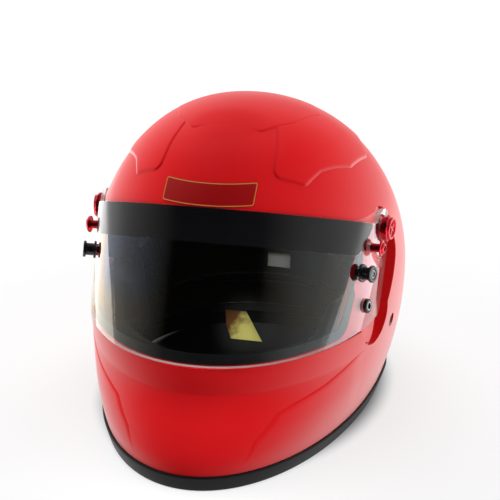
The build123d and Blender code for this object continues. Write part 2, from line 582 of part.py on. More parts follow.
# Tear-off posts and the lock post
post = post_plane * (extrude(Circle(POST_BASE_RADIUS), amount=POST_BASE_THICKNESS)
                     + extrude(Circle(POST_BODY_RADIUS), amount=POST_LENGTH)
                     + Pos(0, 0, POST_LENGTH - POST_HEAD_THICKNESS) * extrude(Circle(POST_HEAD_RADIUS),
                                                                              amount=POST_HEAD_THICKNESS))
post_end = post_plane * Pos(0, 0, POST_LENGTH) * (Circle(POST_RING_RADIUS + POST_RING_WIDTH / 2)
                                                 - Circle(POST_RING_RADIUS - POST_RING_WIDTH / 2))
post_screw = Pos(0, 0, -SHIELD_THICKNESS) * (
    Cone(POST_SCREW_HEAD_RADIUS, POST_SCREW_RADIUS, POST_SCREW_HEAD_DEPTH,
         align=(Align.CENTER, Align.CENTER, Align.MIN))
    + extrude(Circle(POST_SCREW_RADIUS), amount=2 * SHIELD_THICKNESS))
post = post - extrude(post_end, amount=-POST_RING_WIDTH) - post_plane * post_screw
lock = lock_plane * extrude(Circle(LOCK_RADIUS), amount=LOCK_HEIGHT)
lock_top = lock_plane.origin + lock_plane.z_dir * LOCK_HEIGHT
lock = fillet(lock.edges().filter_by(GeomType.CIRCLE).sort_by_distance(lock_top)[0], LOCK_HEIGHT / 4)
lock_socket = lock_plane * Pos(0, 0, LOCK_HEIGHT) * RegularPolygon(HEX_ACROSS / math.sqrt(3), 6)
lock_root = Pos(0, 0, -SHIELD_THICKNESS) * (
    Cone(POST_SCREW_HEAD_RADIUS, POST_SCREW_RADIUS, POST_SCREW_HEAD_DEPTH,
         align=(Align.CENTER, Align.CENTER, Align.MIN))
    + extrude(Circle(POST_SCREW_RADIUS), amount=SHIELD_THICKNESS))
lock = (lock - extrude(lock_socket, amount=-HEX_DEPTH) + lock_plane * lock_root) - shield

# Liners
crown_points = [(along * KNEE_REACH, up * CROWN_TOP) for along, up in CROWN_LINER_SHARES]
crown_points = ([(REACH, crown_points[0][1])] + crown_points + [(-REACH, crown_points[-1][1]),
                (-REACH, CROWN_TOP + OVERRUN), (REACH, CROWN_TOP + OVERRUN)])
crown_face = make_face(Polyline(*crown_points, close=True)) - offset(eyeport_outline(), LINER_EYEPORT_GAP)
liner_room = cavity(FIT_GAP)
eps_inner = -SHELL_WALL - FIT_GAP - EPS_DEPTH
pivot_pocket = across(NUT_PLATE_RADIUS + HARDWARE_ROOM, PIVOT_Y, PIVOT_Z,
                      pad_inner_x - NUT_PLATE_THICKNESS - HARDWARE_ROOM, REACH)
guide_pocket = across(WELL_NUT_RADIUS + HARDWARE_ROOM, GUIDE_Y, GUIDE_Z, guide_inner_x - HARDWARE_ROOM, REACH)
crown_eps = (liner_room - form(eps_inner)) & through(crown_face)
crown_eps = crown_eps - both_sides(pivot_pocket) - both_sides(guide_pocket)
crown_eps = crown_eps.solids().sort_by(SortBy.VOLUME)[-1]
comfort_inner = eps_inner - FIT_GAP - COMFORT_DEPTH
comfort = (form(eps_inner - FIT_GAP) - form(comfort_inner)) & through(offset(crown_face, -COMFORT_INSET))

chin_face = Polygon((-REACH, CHIN_LINER_BOTTOM_Z), (-REACH, CHIN_LINER_TOP_Z),
                    (CHIN_LINER_REAR_Y, CHIN_LINER_TOP_Z), (CHIN_LINER_REAR_Y, CHIN_LINER_BOTTOM_Z), align=None)
chin_inner = -SHELL_WALL - FIT_GAP - CHIN_EPS_DEPTH
chin_eps = (liner_room - form(chin_inner)) & through(chin_face)
chin_pad = form(chin_inner - FIT_GAP) - form(chin_inner - FIT_GAP - CHIN_PAD_DEPTH)
chin_pad = chin_pad & through(offset(chin_face, -COMFORT_INSET))

cheek_face = outline([(along * KNEE_REACH, up * CROWN_TOP) for along, up in CHEEK_SHARES],
                     [CHEEK_CORNER_RADIUS] * len(CHEEK_SHARES))
anchor_pocket = across(ANCHOR_BODY_RADIUS + HARDWARE_ROOM, ANCHOR_Y, ANCHOR_Z,
                       anchor_x - ANCHOR_LENGTH - HARDWARE_ROOM, REACH)
cheeks = (liner_room - form(-SHELL_WALL - FIT_GAP - CHEEK_DEPTH)) & through(cheek_face)
cheeks = (cheeks - both_sides(anchor_pocket)).solids().sort_by(Axis.X)

neck_face = Polygon((NECK_ROLL_FRONT_Y, NECK_ROLL_BOTTOM_Z), (NECK_ROLL_FRONT_Y, NECK_ROLL_TOP_Z),
                    (REACH, NECK_ROLL_TOP_Z), (REACH, NECK_ROLL_BOTTOM_Z), align=None)
neck_roll = (liner_room - form(-SHELL_WALL - FIT_GAP - NECK_ROLL_DEPTH)) & through(neck_face)

# Chin straps, their plates and rivets, and the two rings
strap_plane = Plane(origin=(0, STRAP_Y, 0), x_dir=(1, 0, 0), z_dir=(0, -1, 0))
wall_x = form_side_x(STRAP_Y - STRAP_WIDTH / 2, STRAP_WALL_Z, -SHELL_WALL) - STRAP_THICKNESS


def ribbon(line, width):
    """A webbing strip that follows a line seen from the front."""
    return extrude(strap_plane * trace(line, line_width=STRAP_THICKNESS), amount=width / 2, both=True)


loop_low = RING_BAR_Z - RING_WIRE_RADIUS - LOOP_ROOM - STRAP_THICKNESS / 2
loop_high = RING_BAR_Z + RING_LIFT + RING_WIRE_RADIUS + LOOP_ROOM + STRAP_THICKNESS / 2
loop_in = RING_BAR_X - RING_WIRE_RADIUS - LOOP_ROOM - STRAP_THICKNESS / 2
loop_out = RING_BAR_X + RING_WIRE_RADIUS + LOOP_ROOM + LOOP_SWING + STRAP_THICKNESS / 2
loop_line = FilletPolyline((loop_in, loop_low), (loop_out, loop_low), (loop_out, loop_high), (loop_in, loop_high),
                           radius=LOOP_CORNER_RADIUS, close=True)
loop_middle = (loop_low + loop_high) / 2
short_line = FilletPolyline((wall_x, STRAP_TOP_Z), (wall_x, STRAP_WALL_Z), *STRAP_SHORT_POINTS,
                            (loop_out, loop_middle), radius=STRAP_BEND_RADIUS)
short_strap = ribbon(short_line, STRAP_WIDTH) + ribbon(loop_line, STRAP_WIDTH)
long_line = FilletPolyline((-wall_x, STRAP_TOP_Z), (-wall_x, STRAP_WALL_Z), *STRAP_LONG_POINTS,
                           (STRAP_LONG_REACH, STRAP_LONG_POINTS[-1][1]), radius=STRAP_BEND_RADIUS)
fold_z = (STRAP_LONG_POINTS[-1][1] + STRAP_FOLD_Z) / 2
fold_radius = fold_z - STRAP_LONG_POINTS[-1][1]
fold_line = ThreePointArc((STRAP_LONG_REACH, STRAP_LONG_POINTS[-1][1]), (STRAP_LONG_REACH + fold_radius, fold_z),
                          (STRAP_LONG_REACH, STRAP_FOLD_Z))
end_line = Line((STRAP_LONG_REACH, STRAP_FOLD_Z), (STRAP_END_X, STRAP_FOLD_Z))
long_strap = ribbon(long_line, STRAP_WIDTH) + ribbon(fold_line, STRAP_WIDTH) + ribbon(end_line, STRAP_WIDTH)
rivet_end_x = form_side_x(STRAP_Y, RIVET_Z, -SHELL_WALL) + RIVET_DEPTH
plate_x = wall_x - STRAP_THICKNESS / 2 - PLATE_THICKNESS
rivet_hole = across(RIVET_RADIUS, STRAP_Y, RIVET_Z, 0, rivet_end_x)
rivet = across(RIVET_RADIUS, STRAP_Y, RIVET_Z, plate_x, rivet_end_x)
rivet_head = across(RIVET_HEAD_RADIUS, STRAP_Y, RIVET_Z, plate_x - RIVET_HEAD_HEIGHT, plate_x)
rivet += fillet(rivet_head.edges().group_by(Axis.X)[0], RIVET_HEAD_HEIGHT * 2 / 3)
plate = Pos(plate_x, STRAP_Y, RIVET_Z) * Box(PLATE_THICKNESS, PLATE_LENGTH, PLATE_HEIGHT,
                                            align=(Align.MIN, Align.CENTER, Align.CENTER))
plate -= rivet_hole
shell = shell - both_sides(rivet_hole)
short_strap -= rivet_hole
long_strap -= mirrored(rivet_hole)

ring_line = FilletPolyline((-RING_ARM, -RING_HALF_WIDTH), (0, -RING_HALF_WIDTH), (0, RING_HALF_WIDTH),
                           (-RING_ARM, RING_HALF_WIDTH), radius=RING_BEND)
ring_arc = ThreePointArc((-RING_ARM, RING_HALF_WIDTH), (-RING_ARM - RING_HALF_WIDTH, 0),
                         (-RING_ARM, -RING_HALF_WIDTH))
ring_wire = Wire([*ring_line.edges(), ring_arc])
ring_start = Plane(origin=ring_arc @ 0.5, x_dir=(1, 0, 0), z_dir=(0, 1, 0))
ring = sweep(ring_start * Circle(RING_WIRE_RADIUS), path=ring_wire)
ring_place = Pos(RING_BAR_X, STRAP_Y, RING_BAR_Z)

# Brow plate, size label and care tag
brow_face = Plane.XZ * Pos(0, BROW_PLATE_Z) * RectangleRounded(BROW_PLATE_WIDTH, BROW_PLATE_HEIGHT,
                                                              BROW_PLATE_CORNER)
brow_plate = (form(BROW_PLATE_THICKNESS) - form(0)) & extrude(brow_face, amount=REACH)
label_face = Plane.XZ * Pos(LABEL_X, LABEL_Z) * Rectangle(LABEL_WIDTH, LABEL_HEIGHT)
label = (form(comfort_inner) - form(comfort_inner - LABEL_THICKNESS)) & extrude(label_face, amount=-REACH)
tag_line = FilletPolyline((TAG_ROOT_Y, TAG_ROOT_Z), (TAG_BEND_Y, TAG_BEND_Z), (TAG_END_Y, TAG_END_Z),
                          radius=TAG_BEND_RADIUS)
tag_face = Plane.YZ.offset(TAG_X) * trace(tag_line, line_width=TAG_THICKNESS)
tag = extrude(tag_face, amount=TAG_WIDTH / 2, both=True)

save("outer_shell", shell)
save("bottom_edge_trim", trim)
save("eyeport_gasket", gasket)
save("crown_eps_liner", crown_eps)
save("comfort_liner", comfort)
save("chin_bar_eps", chin_eps)
save("chin_bar_pad", chin_pad)
save("cheek_pad_left", cheeks[-1])
save("cheek_pad_right", cheeks[0])
save("neck_roll", neck_roll)
save("shield", shield)
save("shield_sun_strip", strip)
save("shield_hubs", both_sides(hub))
save("pivot_bushings", both_sides(bushing))
save("pivot_washers", both_sides(flange))
save("pivot_screws", both_sides(pivot_screw))
save("pivot_nut_plates", both_sides(nut_plate))
save("guide_sleeves", both_sides(sleeve))
save("guide_washers", both_sides(washer))
save("guide_screws", both_sides(guide_screw))
save("guide_nuts", both_sides(well_nut))
save("tear_off_post_left", post)
save("tear_off_post_right", mirrored(post))
save("post_screws", both_sides(post_plane * post_screw))
save("shield_lock_post", lock)
save("restraint_anchor_left", anchor)
save("restraint_anchor_right", mirrored(anchor))
save("brow_plate", brow_plate)
save("size_label", label)
save("care_tag", tag)
save("chin_strap_short", short_strap)
save("chin_strap_long", long_strap)
save("strap_plates", both_sides(plate))
save("strap_rivets", both_sides(rivet))
save("d_ring_lower", ring_place * ring)
save("d_ring_upper", Pos(0, 0, RING_LIFT) * ring_place * ring)
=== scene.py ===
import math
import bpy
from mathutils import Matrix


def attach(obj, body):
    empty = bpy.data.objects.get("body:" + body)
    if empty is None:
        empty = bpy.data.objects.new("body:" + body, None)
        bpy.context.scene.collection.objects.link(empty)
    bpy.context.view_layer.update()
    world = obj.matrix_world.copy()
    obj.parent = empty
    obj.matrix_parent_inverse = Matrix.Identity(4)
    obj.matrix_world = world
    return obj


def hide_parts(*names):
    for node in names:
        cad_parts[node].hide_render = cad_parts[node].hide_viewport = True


bl_info = {
    "name": "Racing Helmet",
    "version": (1, 0, 0),
    "blender": (4, 5, 0),
    "location": "View3D > Sidebar > Helmet",
    "description": "Builds the looks of a full-face racing helmet round its packed frame",
    "category": "Object",
}

import bmesh
import bpy
import numpy as np
from mathutils import Matrix, Vector

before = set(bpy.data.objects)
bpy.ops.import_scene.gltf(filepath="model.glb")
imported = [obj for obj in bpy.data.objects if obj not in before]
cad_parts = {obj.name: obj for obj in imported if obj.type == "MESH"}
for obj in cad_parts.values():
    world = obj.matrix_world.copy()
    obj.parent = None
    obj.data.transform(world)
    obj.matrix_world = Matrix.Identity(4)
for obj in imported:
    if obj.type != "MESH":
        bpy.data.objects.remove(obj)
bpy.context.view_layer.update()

MM = 0.001
SHIFT = 19.2325          # the frame's origin lies this far ahead of the drawing's, in mm

# Sizes in millimetres, in the drawing's own frame, the same as the part's source
CROWN_TOP, WIDEST_Z, HALF_WIDTH, RIM_HALF_WIDTH = 251.0, 103.6, 130.3, 111.0
REAR_REACH, RIM_REAR_REACH, STATION_Y, RIM_STATION_Y = 150.5, 122.7, 25.8, 30.3
APEX_Y, KNEE_Z, KNEE_REACH = -4.0, 68.0, 165.7
CHIN_HEIGHTS = np.array([-0.176, 0.0, 0.191, 0.353, 0.574, 1.0]) * KNEE_Z
CHIN_REACHES = np.array([1.101, 1.113, 1.126, 1.124, 1.091, 1.0]) * KNEE_REACH
SHELL_WALL, TRIM_HEIGHT, TRIM_THICKNESS, TRIM_INNER_HEIGHT = 4.0, 12.8, 2.4, 10.0
PIVOT_Y, PIVOT_Z, EAR_RADIUS, EAR_BLEND = -17.0, 155.0, 15.5, 5.0
LEAN = math.radians(21.1)
SHIELD_TOP_Y, SHIELD_TOP_Z, SHIELD_THICKNESS = -123.6, 198.8, 3.0
FRONT_RADIUS, SIDE_RADIUS, FRONT_TURN = 107.7, 146.0, math.radians(44.0)
SIDE_X = (FRONT_RADIUS - SIDE_RADIUS) * math.sin(FRONT_TURN)
SIDE_BACK = FRONT_RADIUS + (SIDE_RADIUS - FRONT_RADIUS) * math.cos(FRONT_TURN)
SHIELD_BOTTOM_Z, RECESS_GAP, RECESS_MARGIN = 90.5, 1.6, 1.6
PAD_X = 111.41
REACH = 225.0
PANEL_RISE, TOP_RISE, CHIN_RISE = 1.6, 1.0, 1.1
PANEL_ROOT, PANEL_SKIRT, PANEL_DEPTH = 0.6, 0.7, 1.6      # below the form, past the outline, and down to its back
PIVOT, GUIDE, ANCHOR = (PIVOT_Y, PIVOT_Z), (-44.0, 148.0), (-12.0, 74.6)
POST, LOCK = (-62.4, 133.4), (-62.6, 106.7)
PIVOT_HEAD_X, GUIDE_HEAD_X, HEAD_LEAN = 120.15, 119.2, 0.45
EAR_HEEL, SHIELD_HEEL, HEEL_RADII = (-3.0, 134.0), (-36.0, SHIELD_BOTTOM_Z), (18.0, 14.0)
SHIELD_TRAVEL, SLOT_HALF = math.radians(54.0), 3.9
RECESS_HEADROOM, SCOOP_CENTRE, SCOOP_RADIUS = 9.0, (-50.0, 92.0), 22.0
EYEPORT_DROP, EYEPORT_REAR_Y, EYEPORT_FOOT, EYEPORT_RADII = 15.5, -49.0, (-90.7, 95.2), (12.0, 15.0)
STRIP_HEIGHT, STRIP_DROP, STRIP_ENDS_Y = 25.7, 0.3, (-64.5, -37.5)
RING_X, RING_Z, RING_LIFT, WIRE_RADIUS = 61.0, 8.2, 3.8, 1.6
STRAP_Y, STRAP_WIDTH, STRAP_THICKNESS, STRAP_BEND = -32.0, 25.0, 1.6, 4.0
STRAP_TOP_Z, STRAP_WALL_Z, LOOP_ROOM, LOOP_SWING = 29.0, 16.0, 0.6, 2.1
FOLD_X, FOLD_LOW_Z, FOLD_HIGH_Z, STRAP_END_X = 30.0, 1.9, 5.1, -50.0
PLATE_HALF_WIDTH, PLATE_HALF_HEIGHT, PLATE_CORNER, PLATE_Z, PLATE_THICKNESS = 35.0, 7.1, 2.0, 204.3, 0.38
PAD_SWELL = 2.6          # how far the pads' filling may push their cloth out
WING = np.array([(0.315, -0.374), (0.338, -0.528), (0.507, -0.456), (0.564, -0.329), (0.695, -0.127),
                 (0.744, 0.109), (0.614, 0.350), (0.353, 0.435), (0.153, 0.181)]) * (HALF_WIDTH, KNEE_REACH)
TOP_HALF = np.array([(0.0, -0.362), (0.210, -0.329), (0.364, -0.163), (0.464, 0.097), (0.353, 0.314),
                     (0.0, 0.374)]) * (HALF_WIDTH, KNEE_REACH)
CHEEK = np.array([(-0.579, 0.120), (-0.579, 0.343), (-0.507, 0.351), (-0.374, 0.450), (-0.247, 0.450),
                  (0.163, 0.432), (0.133, 0.120)]) * (KNEE_REACH, CROWN_TOP)
CHIN_LINE = np.array([(-0.362, 1.088), (-0.435, 1.059), (-0.670, 0.904), (-0.809, 0.838), (-0.893, 0.779),
                      (-1.002, 0.537), (-1.074, 0.235)]) * (KNEE_REACH, KNEE_Z)


# ---------------------------------------------------------------- the helmet's form

def chin_reach(height):
    """Front of the chin: one cubic between each pair of its stations."""
    slopes = np.diff(CHIN_REACHES) / np.diff(CHIN_HEIGHTS)
    tangents = np.concatenate(([slopes[0]], (slopes[:-1] + slopes[1:]) / 2, [slopes[-1] / 2]))
    i = np.clip(np.searchsorted(CHIN_HEIGHTS, height, side="right") - 1, 0, len(slopes) - 1)
    span = CHIN_HEIGHTS[i + 1] - CHIN_HEIGHTS[i]
    t = (height - CHIN_HEIGHTS[i]) / span
    return (CHIN_REACHES[i] * (2 * t**3 - 3 * t**2 + 1) + tangents[i] * span * (t**3 - 2 * t**2 + t)
            + CHIN_REACHES[i + 1] * (3 * t**2 - 2 * t**3) + tangents[i + 1] * span * (t**3 - t**2))


def form_sizes(height, grow):
    """Half width, front, rear and widest station at a height: an ellipse in height above the widest level,
    a parabola below it, and the chin's own curve below the knee."""
    z = np.asarray(height, float)
    grow = np.asarray(grow, float)
    top = CROWN_TOP + grow
    up = np.sqrt(np.clip(1 - ((z - WIDEST_Z) / (top - WIDEST_Z))**2, 0, 1))
    down = np.clip((WIDEST_Z - z) / WIDEST_Z, 0, 2)
    above = z >= WIDEST_Z
    half = np.where(above, (HALF_WIDTH + grow) * up, HALF_WIDTH - (HALF_WIDTH - RIM_HALF_WIDTH) * down**2 + grow)
    rear = np.where(above, APEX_Y + (REAR_REACH + grow - APEX_Y) * up,
                    REAR_REACH - (REAR_REACH - RIM_REAR_REACH) * down**2 + grow)
    station = np.where(above, APEX_Y + (STATION_Y - APEX_Y) * up, STATION_Y + (RIM_STATION_Y - STATION_Y) * down)
    knee = np.sqrt(np.clip(1 - ((z - KNEE_Z) / (top - KNEE_Z))**2, 0, 1))
    front = np.where(z >= KNEE_Z, APEX_Y - (KNEE_REACH + grow + APEX_Y) * knee, -chin_reach(z) - grow)
    return half, front, rear, station


def form_point(turn, height, grow):
    """Point of the form at an angle round it: the front and the rear half ellipse share the widest station."""
    half, front, rear, station = form_sizes(height, grow)
    c, s = np.cos(turn), np.sin(turn)
    y = station + np.where(s >= 0, (rear - station) * s, (station - front) * s)
    return np.stack(np.broadcast_arrays(half * c, y, np.asarray(height, float)), -1)


def form_level(p, grow):
    """How far out of the form a point lies, as the ellipse's own radius less one."""
    half, front, rear, station = form_sizes(p[..., 2], grow)
    dy = p[..., 1] - station
    reach = np.where(dy < 0, station - front, rear - station)
    return np.hypot(p[..., 0] / np.maximum(half, 1e-3), dy / np.maximum(reach, 1e-3)) - 1


def form_normal(p, grow):
    """Outward normal of the form: the slope of its level in each direction."""
    step = 0.2
    n = np.stack([form_level(p + step * axis, grow) - form_level(p - step * axis, grow) for axis in np.eye(3)], -1)
    return n / np.maximum(np.linalg.norm(n, axis=-1, keepdims=True), 1e-9)


def form_side_x(y, z, grow=0.0):
    """Half width of the form at a place on its side."""
    half, front, rear, station = form_sizes(z, grow)
    reach = np.where(y < station, station - front, rear - station)
    return half * np.sqrt(np.clip(1 - ((y - station) / reach)**2, 0, 1))


def lean_place(x, back, up):
    """World place of a point given across, back along and up along the leaning shield."""
    y = SHIELD_TOP_Y + back * math.cos(LEAN) + up * math.sin(LEAN)
    z = SHIELD_TOP_Z - back * math.sin(LEAN) + up * math.cos(LEAN)
    return np.stack(np.broadcast_arrays(x, y, z), -1)


def lean_back_up(y, z):
    """Back along and up along the shield of a place in the side view."""
    dy, dz = y - SHIELD_TOP_Y, z - SHIELD_TOP_Z
    return dy * math.cos(LEAN) - dz * math.sin(LEAN), dy * math.sin(LEAN) + dz * math.cos(LEAN)


def plan_at(angle, inset=0.0):
    """Across and back of the shield's surface at a signed angle of its arcs: a front arc and two wider side arcs."""
    side = np.abs(angle) > FRONT_TURN
    x = np.where(side, np.sign(angle) * SIDE_X + (SIDE_RADIUS - inset) * np.sin(angle),
                 (FRONT_RADIUS - inset) * np.sin(angle))
    back = np.where(side, SIDE_BACK - (SIDE_RADIUS - inset) * np.cos(angle),
                    FRONT_RADIUS - (FRONT_RADIUS - inset) * np.cos(angle))
    return x, back


def plan_curve(inset, steps):
    """Plan of the shield from the wearer's right to the left."""
    return plan_at(np.linspace(-math.pi / 2, math.pi / 2, 2 * steps + 1), inset)


def shield_normal(p):
    """Outward normal of the shield at a point near it: away from its arc's own axis."""
    back, _ = lean_back_up(p[..., 1], p[..., 2])
    x = p[..., 0]
    side = np.arctan2(np.abs(x), FRONT_RADIUS - back) > FRONT_TURN
    nx = np.where(side, x - np.sign(x) * SIDE_X, x)
    nb = np.where(side, back - SIDE_BACK, back - FRONT_RADIUS)
    size = np.maximum(np.hypot(nx, nb), 1e-9)
    return np.stack([nx / size, nb / size * math.cos(LEAN), -nb / size * math.sin(LEAN)], -1)


def level_z(y, drop=0.0):
    """Height of the line across the lean that runs a drop below the shield's top edge."""
    return SHIELD_TOP_Z - (y - SHIELD_TOP_Y) * math.tan(LEAN) - drop / math.cos(LEAN)


# ---------------------------------------------------------------- outlines in the side view

def arc_points(centre, radius, start, end, count):
    """Points along an arc, angles in radians."""
    a = np.linspace(start, end, count)
    return np.stack([centre[0] + radius * np.cos(a), centre[1] + radius * np.sin(a)], -1)


def corner_arc(before, corner, after, radius, count):
    """The arc that rounds a corner between its neighbours."""
    a, b = before - corner, after - corner
    a, b = a / np.linalg.norm(a), b / np.linalg.norm(b)
    half = math.acos(np.clip(a @ b, -1, 1)) / 2
    centre = corner + (a + b) / np.linalg.norm(a + b) * radius / math.sin(half)
    first, last = corner + a * radius / math.tan(half), corner + b * radius / math.tan(half)
    t0, t1 = (math.atan2(*(end - centre)[::-1]) for end in (first, last))
    return arc_points(centre, radius, t0, t0 + (t1 - t0 + math.pi) % (2 * math.pi) - math.pi, count)


def rounded(points, radii, count=9):
    """A closed outline with each corner replaced by an arc of its radius, or kept where the radius is 0."""
    points = [np.asarray(p, float) for p in points]
    out = []
    for i, (corner, radius) in enumerate(zip(points, radii)):
        after = points[(i + 1) % len(points)]
        out.append(corner_arc(points[i - 1], corner, after, radius, count) if radius else corner[None])
    return np.concatenate(out)


def bend_line(points, radii):
    """An open line with its inner corners rounded."""
    return rounded(points, [0, *radii, 0])


def circle(centre, radius, count):
    """A closed round outline."""
    return arc_points(centre, radius, 0, 2 * math.pi, count + 1)[:-1]


def line_lengths(line):
    """Distance along a line at each of its points."""
    return np.concatenate([[0], np.cumsum(np.linalg.norm(np.diff(line, axis=0), axis=1))])


def spread(line, count, endpoint=True):
    """A line at an even step, and the distance along it at each new point."""
    length = line_lengths(line)
    at = np.linspace(0, length[-1], count, endpoint=endpoint)
    return np.stack([np.interp(at, length, line[:, k]) for k in range(line.shape[1])], -1), at


def densify(outline, step):
    """A closed outline resampled at an even step."""
    closed = np.concatenate([outline, outline[:1]])
    return spread(closed, int(line_lengths(closed)[-1] / step), endpoint=False)[0]


def grown(outline, distance):
    """An outline moved outward along its own edges' normals."""
    before, after = np.roll(outline, 1, 0), np.roll(outline, -1, 0)
    e0 = (outline - before) / np.maximum(np.linalg.norm(outline - before, axis=1, keepdims=True), 1e-9)
    e1 = (after - outline) / np.maximum(np.linalg.norm(after - outline, axis=1, keepdims=True), 1e-9)
    area = np.sum(outline[:, 0] * after[:, 1] - after[:, 0] * outline[:, 1])
    n0, n1 = np.stack([e0[:, 1], -e0[:, 0]], -1), np.stack([e1[:, 1], -e1[:, 0]], -1)
    n = (n0 + n1) * np.sign(area)
    n /= np.maximum(np.sum(n * n, 1, keepdims=True), 1e-9) / 2
    return outline + n * distance


def shield_outline():
    """Side view of the shield: straight top, round ear with a blended notch, curved rear, level bottom."""
    back, up = lean_back_up(PIVOT_Y, PIVOT_Z)
    fillet_back = back - math.sqrt((EAR_RADIUS + EAR_BLEND)**2 - (EAR_BLEND - up)**2)
    fillet = lean_place(0, fillet_back, EAR_BLEND)[1:]
    pivot = np.array([PIVOT_Y, PIVOT_Z])
    meet = math.atan2(*(fillet - pivot)[::-1])
    blend_end = meet + math.pi
    blend_start = -math.pi / 2 - LEAN
    blend_end = blend_start + (blend_end - blend_start) % (2 * math.pi)
    rear = rounded([(PIVOT_Y + EAR_RADIUS, PIVOT_Z), EAR_HEEL, SHIELD_HEEL, (-REACH, SHIELD_BOTTOM_Z),
                    (-REACH, level_z(-REACH))], [0, *HEEL_RADII, 0, 0])
    return np.concatenate([arc_points(fillet, EAR_BLEND, blend_start, blend_end, 9),
                           arc_points(pivot, EAR_RADIUS, meet, 0, 28)[1:-1], rear])


def eyeport_outline():
    """Side view of the eyeport."""
    return rounded([(-REACH, level_z(-REACH, EYEPORT_DROP)), (EYEPORT_REAR_Y, level_z(EYEPORT_REAR_Y, EYEPORT_DROP)),
                    EYEPORT_FOOT, (-REACH, EYEPORT_FOOT[1])], [0, *EYEPORT_RADII, 0])


# ---------------------------------------------------------------- meshes

def to_frame(points):
    """Drawing millimetres to frame metres."""
    return (np.asarray(points, float) + (0, SHIFT, 0)) * MM


def make(name, points, faces, body="helmet", smooth=True, material=None):
    """A new object from drawing points in millimetres and faces."""
    mesh = bpy.data.meshes.new(name)
    mesh.from_pydata(to_frame(points).tolist(), [], [list(f) for f in faces])
    mesh.update()
    obj = bpy.data.objects.new(name, mesh)
    bpy.context.scene.collection.objects.link(obj)
    if smooth:
        mesh.polygons.foreach_set("use_smooth", np.ones(len(mesh.polygons), bool))
    if material is not None:
        mesh.materials.append(material)
    if body:
        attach(obj, body)
    return obj


def grid_faces(rows, columns, wrap_rows=False, wrap_columns=False, start=0):
    """Quads of a grid whose points run column by column within each row."""
    i = np.arange(rows if wrap_rows else rows - 1)
    j = np.arange(columns if wrap_columns else columns - 1)
    i, j = np.meshgrid(i, j, indexing="ij")
    a = i * columns + j
    b = i * columns + (j + 1) % columns
    c = ((i + 1) % rows) * columns + (j + 1) % columns
    d = ((i + 1) % rows) * columns + j
    return np.stack([a, b, c, d], -1).reshape(-1, 4) + start


def prism(name, outline, x_from, x_to, material=None):
    """A side-view outline carried along X, as a closed tool."""
    n = len(outline)
    ends = [np.column_stack([np.full(n, x), outline]) for x in (x_from, x_to)]
    area = np.sum(outline[:, 0] * np.roll(outline[:, 1], -1) - np.roll(outline[:, 0], -1) * outline[:, 1])
    sides = grid_faces(2, n, wrap_columns=True)
    faces = [f[::-1].tolist() for f in sides] + [list(range(n)), list(range(2 * n - 1, n - 1, -1))]
    if area > 0:
        faces = [f[::-1] for f in faces]
    return make(name, np.concatenate(ends), faces, body=None, smooth=False, material=material)


def lean_solid(name, x, back, low, high, material=None):
    """A closed plan outline carried along the shield's lean, as a closed tool."""
    n = len(x)
    points = np.concatenate([lean_place(x, back, np.full(n, up)) for up in (low, high)])
    area = np.sum(x * np.roll(back, -1) - np.roll(x, -1) * back)
    faces = grid_faces(2, n, wrap_columns=True).tolist() + [list(range(n - 1, -1, -1)), list(range(n, 2 * n))]
    if area < 0:
        faces = [f[::-1] for f in faces]
    obj = make(name, points, faces, body=None, smooth=False, material=material)
    recalculate(obj)
    return obj


def recalculate(obj, sharp=None, merge=0.0):
    """Turns every face of a closed mesh outward; may merge points that coincide and mark edges past an angle sharp."""
    work = bmesh.new()
    work.from_mesh(obj.data)
    if merge:
        bmesh.ops.remove_doubles(work, verts=work.verts, dist=merge)
    bmesh.ops.recalc_face_normals(work, faces=work.faces)
    work.to_mesh(obj.data)
    work.free()
    if sharp is not None:
        obj.data.set_sharp_from_angle(angle=math.radians(sharp))


def fan(start, count, tip):
    """Triangles from a ring of points to a tip."""
    return [[start + j, start + (j + 1) % count, tip] for j in range(count)]


def ringed(points, tips):
    """Points and faces of a body of closed rings, with a tip that closes it at each end."""
    rows, columns = points.shape[:2]
    total = rows * columns
    faces = grid_faces(rows, columns, wrap_columns=True).tolist()
    faces += fan(0, columns, total) + fan(total - columns, columns, total + 1)
    return np.concatenate([points.reshape(-1, 3), tips]), faces


def slab(name, top, under, material, body="helmet"):
    """A body between two grids of points: both faces and the rim that joins them."""
    rows, columns = top.shape[:2]
    faces = grid_faces(rows, columns)
    ids = np.arange(rows * columns).reshape(rows, columns)
    ring = np.concatenate([ids[0], ids[1:, -1], ids[-1, -2::-1], ids[-2:0:-1, 0]])
    after = np.roll(ring, -1)
    rim = np.stack([ring, after, after + ids.size, ring + ids.size], -1)
    points = np.concatenate([top.reshape(-1, 3), under.reshape(-1, 3)])
    return make(name, points, np.concatenate([faces, faces[:, ::-1] + ids.size, rim]).tolist(), body=body,
                material=material)


def read(items, field, kind=float, width=1):
    """One field of all of a mesh's items."""
    values = np.zeros(len(items) * width, kind)
    items.foreach_get(field, values)
    return values


def map_points(obj, name, uv):
    """Gives a mesh a named map from one place for each of its points."""
    corners = read(obj.data.loops, "vertex_index", int)
    obj.data.uv_layers.new(name=name).data.foreach_set("uv", uv[corners].astype(np.float32).ravel())


def keep_modified(obj):
    """Replaces a mesh by what its modifiers make of it, and clears them."""
    bpy.context.view_layer.update()
    mesh = bpy.data.meshes.new_from_object(obj.evaluated_get(bpy.context.evaluated_depsgraph_get()))
    obj.modifiers.clear()
    old = obj.data
    obj.data = mesh
    bpy.data.meshes.remove(old)
    return mesh


def combine(obj, tool, operation="DIFFERENCE"):
    """Cuts, joins or keeps the common part of two closed meshes, and removes the tool."""
    step = obj.modifiers.new("combine", "BOOLEAN")
    step.operation, step.solver, step.object, step.material_mode = operation, "EXACT", tool, "TRANSFER"
    mesh = keep_modified(obj)
    bpy.data.objects.remove(tool)
    if len(mesh.polygons) == 0:
        raise RuntimeError(f"{obj.name} vanished while it was cut")


